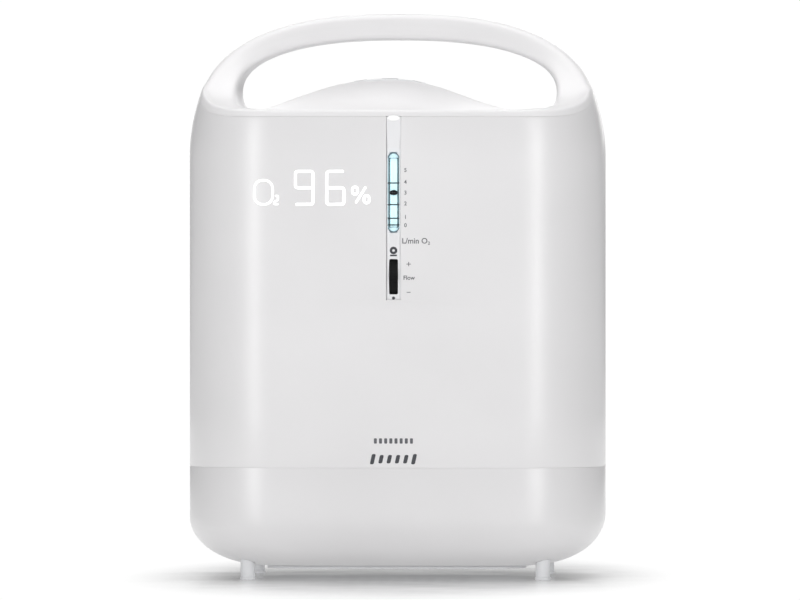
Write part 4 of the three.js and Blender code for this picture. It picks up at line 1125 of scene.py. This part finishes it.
def breaker_button():
    """The reset button, and the collar round it on the casing."""
    low, high = node_box("breaker_button")
    middle = (low + high) / 2
    radius, length, crown = (high.x - low.x) / 2, high.y - low.y, 1.2
    profile = [(0, 0), (radius - 0.8, 0), (radius - 0.8, length - 5), (radius, length - 4.4)]
    profile += [(radius * u, length - crown + crown * v) for u, v in arc((0, 0), 1, 0, 90, 9)]
    button = lathe("reset_button", profile, (middle.x, low.y, middle.z), DARK, "y", 48)
    keep(button, "breaker", "dark_plastic", "breaker_button")
    inner = radius + 0.5
    collar = [(inner, 0), (radius + 2.6, 0)] + arc((radius + 2.0, 0.4), 0.6, 0, 90, 4) + [(inner, 1.0)]
    ring = lathe("reset_collar", collar, (middle.x, BACK, middle.z), DARK, "y", 48, closed=True)
    keep(ring, "root", "dark_plastic")


# ---------------- humidifier

BAY_WALL, BAY_RIBS = 2.6, 7
FLASK_WALL, FLASK_NECK, FLASK_SHOULDER = 2.0, 32.0, 112.0  # its thickness, neck radius and shoulder height
FLASK_GROOVES = (20, 96)  # heights above its foot, as are the next ones
WATER_LEVEL = 76.0
LEVEL_LINES = {"low": 42.0, "high": 82.0}
GRIPS, GRIP_POINTS = 54, 432  # ribs round the collar, and points in each of its rings


def bottle_bay():
    low, high = node_box("bottle_bay")
    liner = prism("bay_liner", box_outline(low, high, 0, 8.7, 8), low.y, high.y, "y", SHELL)
    inside = box_outline(low, high, -BAY_WALL, 6.5, 8)
    cut(liner, prism("hollow", inside, low.y + BAY_WALL, high.y + 9, "y"))
    keep(soften(liner), "root", "shell", "bottle_bay")
    ribs = []
    back = low.y + BAY_WALL
    for k in range(BAY_RIBS):
        x = low.x + BAY_WALL + (high.x - low.x - 2 * BAY_WALL) * (k + 0.5) / BAY_RIBS
        outline = rounded_box(x - 0.9, x + 0.9, low.z + 12, high.z - 12, 0.85, 4)
        ribs.append(prism("rib", outline, back - 0.3, back + 1.1, "y", SHELL))
    keep(soften(joined("bay_ribs", ribs), 0.3), "root", "shell")


def humidifier_bottle():
    """The flask with its grooves and neck, the water in it and its two level lines."""
    low, high, centre = stand("humidifier_bottle")
    radius, mouth, inner = (high.x - low.x) / 2, high.z - low.z, (high.x - low.x) / 2 - FLASK_WALL
    outside = [(0, 1.2), (radius - 12, 1.2)] + arc((radius - 10, 1.2), 1.2, -120, -60, 4)
    outside += arc((radius - 6, 6), 6, -80, 0, 8)
    for z in FLASK_GROOVES:
        outside += [(radius, z - 2), (radius - 0.7, z - 1), (radius - 0.7, z + 1), (radius, z + 2)]
    outside += arc((radius - 9, FLASK_SHOULDER - 9), 9, 0, 62, 8)
    outside += [(FLASK_NECK, FLASK_SHOULDER + 1), (FLASK_NECK, mouth)]
    inside = [(FLASK_NECK - FLASK_WALL, mouth), (FLASK_NECK - FLASK_WALL, FLASK_SHOULDER)]
    inside += arc((inner - 8, FLASK_SHOULDER - 10), 8, 62, 0, 8)
    inside += arc((inner - 5, 8.5), 5, 0, -88, 8) + [(0, 3.5)]
    flask = lathe("humidifier_flask", outside + inside, centre, BOTTLE, segments=96)
    keep(flask, "bottle", "bottle_clear", "humidifier_bottle")
    reach = inner - 0.3
    fill = [(0, 4.0)] + arc((reach - 5, 9), 5, -88, 0, 8)
    fill += [(reach, WATER_LEVEL + 1.2), (reach - 1.5, WATER_LEVEL), (0, WATER_LEVEL)]
    keep(lathe("humidifier_water", fill, centre, WATER, segments=96), "bottle", "bottle_clear")
    near, far = radius + 0.02, radius + 0.14
    for name, z in LEVEL_LINES.items():
        band = [(near, z - 0.5), (far, z - 0.5), (far, z + 0.5), (near, z + 0.5)]
        line = lathe("level_line_" + name, band, centre, DARK_INK, segments=96, closed=True)
        keep(line, "bottle", "float_black")


def grip_ring(centre, radius, dent, z):
    """A ring of the collar's skin, dented between its ribs."""
    ring = []
    for i in range(GRIP_POINTS):
        turn = 2 * math.pi * i / GRIP_POINTS
        reach = radius - dent * (0.5 + 0.5 * math.cos(GRIPS * turn))
        ring.append((centre[0] + reach * math.cos(turn), centre[1] + reach * math.sin(turn), z))
    return ring


def bottle_collar():
    """The screw ring: fine grips round a skirt, with a flange over the lid's rim."""
    low, high = node_box("bottle_collar")
    outer, bottom, top = (high.x - low.x) / 2, low.z, high.z
    skin = [(outer - 0.8, 0, bottom), (outer - 0.2, 0, bottom + 0.6), (outer - 0.2, 0, bottom + 2.4)]
    skin += [(outer, 1.1, bottom + 3.2), (outer, 1.1, top - 3.4), (outer - 0.3, 0, top - 2.4)]
    skin += [(outer - 0.8, 0, top - 0.8), (outer - 2.0, 0, top), (25.8, 0, top), (25, 0, top - 0.8)]
    skin += [(25, 0, top - 3.0), (33.6, 0, top - 3.0), (33.6, 0, bottom)]
    centre = stand("humidifier_bottle")[2]
    rings = [grip_ring(centre, *place) for place in skin]
    collar = ring_mesh("lid_ring", rings, TRIM, 50, loop=True)
    keep(collar, "collar", "light_trim", "bottle_collar")


def bottle_lid():
    """The lid with its outlet tower, and the port on its arm that meets the machine."""
    low, high = node_box("bottle_lid")
    x, y = stand("humidifier_bottle")[2][:2]
    top, port_z, arm_start = low.z, high.z - 5, low.y
    disc = [(0, 0), (31, 0)] + arc((32, 1), 1, -90, 0, 4) + arc((32, 4), 1, 0, 90, 4) + [(22, 5), (21.5, 5.6)]
    dome = arc((16.5, 9.5), 5.0, 0, 90, 8) + [(0, 14.5)]
    lid = lathe("lid_body", disc + dome, (x, y, top), COVER, segments=96)
    tower = [(0, top + 8), (7.4, top + 8), (7, top + 14)] + arc((5.2, port_z + 2.6), 1.8, 0, 90, 5)
    cut(lid, lathe("tower", tower + [(0, port_z + 4.4)], (x, y, 0), None), operation="UNION")
    arm = [(0, arm_start), (4.2, arm_start), (5, arm_start + 1), (5, y - 2), (0, y - 2)]
    cut(lid, lathe("arm", arm, (x, 0, port_z), None, "y"), operation="UNION")
    bore = [(0, arm_start - 2), (2.4, arm_start - 2), (2.4, y), (0, y)]
    cut(lid, lathe("bore", bore, (x, 0, port_z), None, "y", 48), smooth=40)
    keep(lid, "lid", "cover", "bottle_lid")
    seal = arc((4.6, arm_start + 5), 0.9, 0, 330, 11)
    keep(lathe("port_seal", seal, (x, 0, port_z), RUBBER, "y", 48, closed=True), "lid", "rubber")


def outlet_nozzle():
    low, high, centre = stand("outlet_nozzle")
    length = high.z - low.z
    foot = [(1, 1), (4.4, 0)] + arc((3.9, 2.6), 0.5, 0, 90, 4) + [(2.6, 3.4)]
    barbs = [(2.6, 6), (3.2, 8.2), (2.5, 12.4), (2.5, 12.9), (3.1, 13.4)]
    tip = [(2.3, length - 0.6), (2.0, length), (1, length)]
    nozzle = lathe("patient_outlet", foot + barbs + tip, centre, TRIM, segments=48, closed=True)
    keep(nozzle, "lid", "light_trim", "outlet_nozzle")


def diffuser_tube():
    """The pipe that leads down into the water, with a porous stone at its end."""
    low, high, centre = stand("diffuser_tube")
    length = high.z - low.z
    wall = [(3, 13), (3, length), (2, length), (2, 13)]
    pipe = lathe("bubble_tube", wall, centre, FROSTED, segments=40, closed=True)
    keep(pipe, "lid", "light_trim", "diffuser_tube")
    stone = [(0, 0)] + arc((4.4, 1.6), 1.6, -90, 0, 4) + arc((4.4, 13.4), 1.6, 0, 90, 4) + [(0, 15)]
    keep(lathe("bubble_stone", stone, centre, FELT, segments=40), "lid", "light_trim")


# ---------------- control panel

# The body and the radius of each button node.
BUTTONS = {
    "timer_minus_button": ("timer_minus", 6.0),
    "power_button": ("power_button", 7.4),
    "timer_plus_button": ("timer_plus", 6.0),
}
PANEL_SHARES = [1.0, 0.97, 0.9, 0.75, 0.55, 0.3, 0.1]  # sizes of the panel's rings, from its edge inward
PANEL_DEEP = 3.3  # the panel's underside, below the cover's face
CAP_BEND = 3.0  # a cap follows the slope fully above this depth, and not at all below twice as deep


def panel_ring(share, drop):
    """A ring of the panel, at a share of its size and a drop below the cover's face."""
    half, depth = PANEL["half"] * share, PANEL["depth"] * share
    points = [(PANEL["x"] + half * u, depth * v) for u, v in circle((0, 0), 1, 96)]
    return [(x, y, height_at(x, y) - drop) for x, y in points]


def control_panel():
    """A pale glossy panel that follows the hill, with a hole for each button."""
    rings = [panel_ring(share, PANEL_DEEP) for share in reversed(PANEL_SHARES)]
    panel = ring_mesh("top_panel", rings + [panel_ring(share, GAP) for share in PANEL_SHARES], PANEL_FILM)
    for node, (_, radius) in BUTTONS.items():
        hole = circle(stand(node)[2], radius + GAP, 64)
        cut(panel, prism("button_hole", hole, LEVEL, TOP - 30, "z"))
    keep(soften(panel, 0.35), "root", "panel_gloss", "control_panel")


def follow_hill(piece, centre):
    """Moves a piece's upper part so that it follows the cover's slope instead of lying level."""
    level = height_at(*centre[:2])
    for vertex in piece.data.vertices:
        place = vertex.co / MM
        share = min(1.0, max(0.0, 1 - (centre[2] - place.z - CAP_BEND) / CAP_BEND))
        vertex.co.z += (height_at(place.x, place.y) - level) * share * MM


def signs(body):
    """The outlines of a button's raised sign, by name."""
    if body == "power_button":
        ring = arc((0, 0), 2.9, 125, 415, 40) + arc((0, 0), 2.3, 415, 125, 40)
        return {"ring": ring, "line": rounded_box(-0.3, 0.3, 0.9, 3.6, 0.28, 3)}
    outlines = {"level": rounded_box(-1.9, 1.9, -0.32, 0.32, 0.3, 3)}
    if body == "timer_plus":
        outlines["upright_a"] = rounded_box(-0.32, 0.32, 0.34, 1.9, 0.15, 3)
        outlines["upright_b"] = rounded_box(-0.32, 0.32, -1.9, -0.34, 0.15, 3)
    return outlines


def panel_buttons():
    """Dished caps, each with a raised sign, on the stems that reach the board."""
    for node, (body, radius) in BUTTONS.items():
        low, high, foot = stand(node)
        centre = (*foot[:2], high.z)
        end = low.z - high.z
        profile = [(0, end), (1.6, end), (1.6, -8), (radius + 2, -8), (radius + 2, -6.5), (radius, -6.5)]
        profile += arc((radius - 0.6, -0.6), 0.6, 0, 90, 5)
        profile += [(radius - 1.2, -0.05), (radius * 0.5, -0.32), (0, -0.4)]
        cap = lathe(node + "_cap", profile, centre, BUTTON)
        follow_hill(cap, centre)
        keep(cap, body, "button_white", node)
        for name, outline in signs(body).items():
            moved = [(centre[0] + u, centre[1] + v) for u, v in outline]
            sign = prism(f"{node}_{name}", moved, high.z - 0.55, high.z - 0.22, "z", DARK_INK)
            follow_hill(sign, centre)
            keep(sign, body, "float_black")


# ---------------- pieces kept from the frame

SIDES = ("left", "right")
# The nodes that stay, by their material.
KEPT = {
    BOARD: ["control_board", "display_board"],
    BRASS: ["valve_body", "valve_needle"],
    BUTTON: ["display_diffuser"],
    FELT: ["intake_filter"],
    ALLOY: ["compressor_housing", "oxygen_tank", "valve_block"]
    + [f"{part}_{side}" for part in ("sieve_bed", "piston", "cylinder", "head") for side in SIDES],
    STATOR: ["motor_stator"],
    STEEL: ["crankshaft", "chassis_tray", "valve_spool"],
    FOAM: ["acoustic_box"],
    DARK: ["fan_frame", "fan_rotor", "muffler"],
    COPPER: ["heat_exchanger"],
    RUBBER: [f"rubber_mount_{end}_{side}" for end in ("front", "rear") for side in SIDES],
}


def kept_nodes():
    """Gives each node that stays its finish and slightly rounded edges."""
    for material, names in KEPT.items():
        for name in names:
            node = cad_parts[name]
            if not node.material_slots:
                node.data.materials.append(material)
            for slot in node.material_slots:
                slot.material = material
            edge = node.modifiers.new("edge", "BEVEL")
            edge.width = 0.35 * MM
            edge.segments = 2
            edge.limit_method = "ANGLE"
            edge.angle_limit = math.radians(40)


# ---------------- floor, light and camera, in metres

SHADOW_REACH = (0.26, 0.60)  # from the middle to where the floor is plain white, across and along
PAINTED_SHADOW_REACH, PAINTED_SHADOW_TONE = (0.24, 0.34), 0.62  # a painted shadow: the floor's colour made darker under and before the object
FLOOR_GLOW, FLOOR_BOUNCE = 0.02, 0.40  # the near floor's own light, as seen and as it falls on the object
AMBIENT_FRONT, AMBIENT_SIDE = 0.275, 0.138
PLAIN_WHITE = 1.02  # the white that the camera sees round the object
CAMERA = {"distance": 8.0, "turn": 2.2, "height": 0.30, "lens": 406.3, "shift": (0.0015, -0.0778)}


def floor_distance(look, reach):
    """Distance from the middle of the floor, as a share of two reaches."""
    scale = (1 / reach[0], 1 / reach[1], 0)
    place = look.node("Mapping", {"Vector": look.place, "Scale": scale}, "Vector")
    return look.node("VectorMath", {0: place}, "Value", operation="LENGTH")


def floor_finish():
    """A white floor that takes a soft shadow near the object, deepened there by a painted shadow in its
    colour, and fades to plain white away from it.
    """
    look = new_look("studio_floor")
    grain = look.noise(14, 2.0)
    pale = look.tint(grain, (0.93, 0.93, 0.935), (0.95, 0.95, 0.95))
    # painted shadow: the floor's colour is darkened near the object
    painted_shadow = look.ranged(floor_distance(look, PAINTED_SHADOW_REACH), 0.4, 1.0, PAINTED_SHADOW_TONE, 1.0)
    look.surface({
        "Base Color": look.node("VectorMath", {0: pale, "Scale": painted_shadow}, "Vector", operation="SCALE"),
        "Roughness": look.spread(grain, 0.16, 0.22),
        "Specular IOR Level": 0.15,
    })
    white = look.node("Emission", {"Strength": PLAIN_WHITE}, "Emission")
    seen = look.node("LightPath", {}, "Is Camera Ray")
    near = look.ranged(seen, 0.0, 1.0, FLOOR_BOUNCE, FLOOR_GLOW)
    away = look.ranged(floor_distance(look, SHADOW_REACH), 0.5, 1.0, 0.0, 1.0)
    return look.blend(look.maths("MAXIMUM", near, away), look.solid(), white)


def studio_floor():
    lathe("studio_floor", [(0, 0), (9000, 0)], (0, 0, 0), floor_finish(), segments=96)


def world_light():
    """Even white for the camera, and a softer field round the object that is darker to its sides."""
    world = bpy.data.worlds.new("studio")
    bpy.context.scene.world = world
    look = Shading(world)
    across = look.node("SeparateXYZ", {"Vector": look.node("TexCoord", {}, "Generated")}, "X")
    tone = look.ranged(look.maths("ABSOLUTE", across), 0, 1, AMBIENT_FRONT, AMBIENT_SIDE, "LINEAR")
    soft = look.node("Background", {"Color": tone}, "Background")
    plain = look.node("Background", {"Color": (1, 1, 1, 1), "Strength": PLAIN_WHITE}, "Background")
    look.blend(look.node("LightPath", {}, "Is Camera Ray"), soft, plain)


def area_light(name, place, target, size, power):
    light = bpy.data.lights.new(name, "AREA")
    light.shape = "RECTANGLE"
    light.size, light.size_y = size
    light.energy = power
    lamp = link(name, light)
    lamp.location = place
    lamp.rotation_euler = (Vector(target) - Vector(place)).to_track_quat("-Z", "Y").to_euler()
    lamp.visible_camera = False


def studio_lights():
    area_light("overhead", (0, 0.05, 2.4), (0, 0, 0.2), (2.6, 2.2), 44)
    for name, x in (("strip_L", -1.25), ("strip_R", 1.25)):
        area_light(name, (x, -2.1, 0.45), (0, 0, 0.3), (0.40, 1.9), 17)
    area_light("low_fill", (0, -1.6, 0.05), (0, 0, 0.06), (1.8, 0.09), 1.3)
    area_light("rear_fill", (0, 2.6, 1.2), (0, 0, 0.3), (2.4, 1.6), 16)


def camera():
    """A long lens, a little to the right of the middle, level with the object's upper half."""
    distance, turn = CAMERA["distance"], math.radians(CAMERA["turn"])
    lens = bpy.data.cameras.new("camera")
    lens.lens = CAMERA["lens"]
    lens.sensor_width = 36
    lens.shift_x, lens.shift_y = CAMERA["shift"]
    lens.clip_end = 50
    made = link("camera", lens)
    made.location = (distance * math.sin(turn), -distance * math.cos(turn), CAMERA["height"])
    made.rotation_euler = (math.pi / 2, 0, turn)
    bpy.context.scene.camera = made


# ---------------- the whole object, then its surroundings

front_shell()
base_shell()
handle_cover()
feet()
base_plate()
flow_bezel()
strip_scoop()
flow_tube()
tube_light()
flow_float()
thumbwheel()
front_print()
generic_mark()
display()
rear_shell()
shell_screws()
seam_gasket()
filter_door()
filter_foam()
exhaust_grille()
power_inlet()
breaker_button()
bottle_bay()
humidifier_bottle()
bottle_collar()
bottle_lid()
outlet_nozzle()
diffuser_tube()
control_panel()
panel_buttons()
kept_nodes()
studio_floor()
world_light()
studio_lights()
camera()
bpy.context.scene.view_settings.view_transform = "Standard"
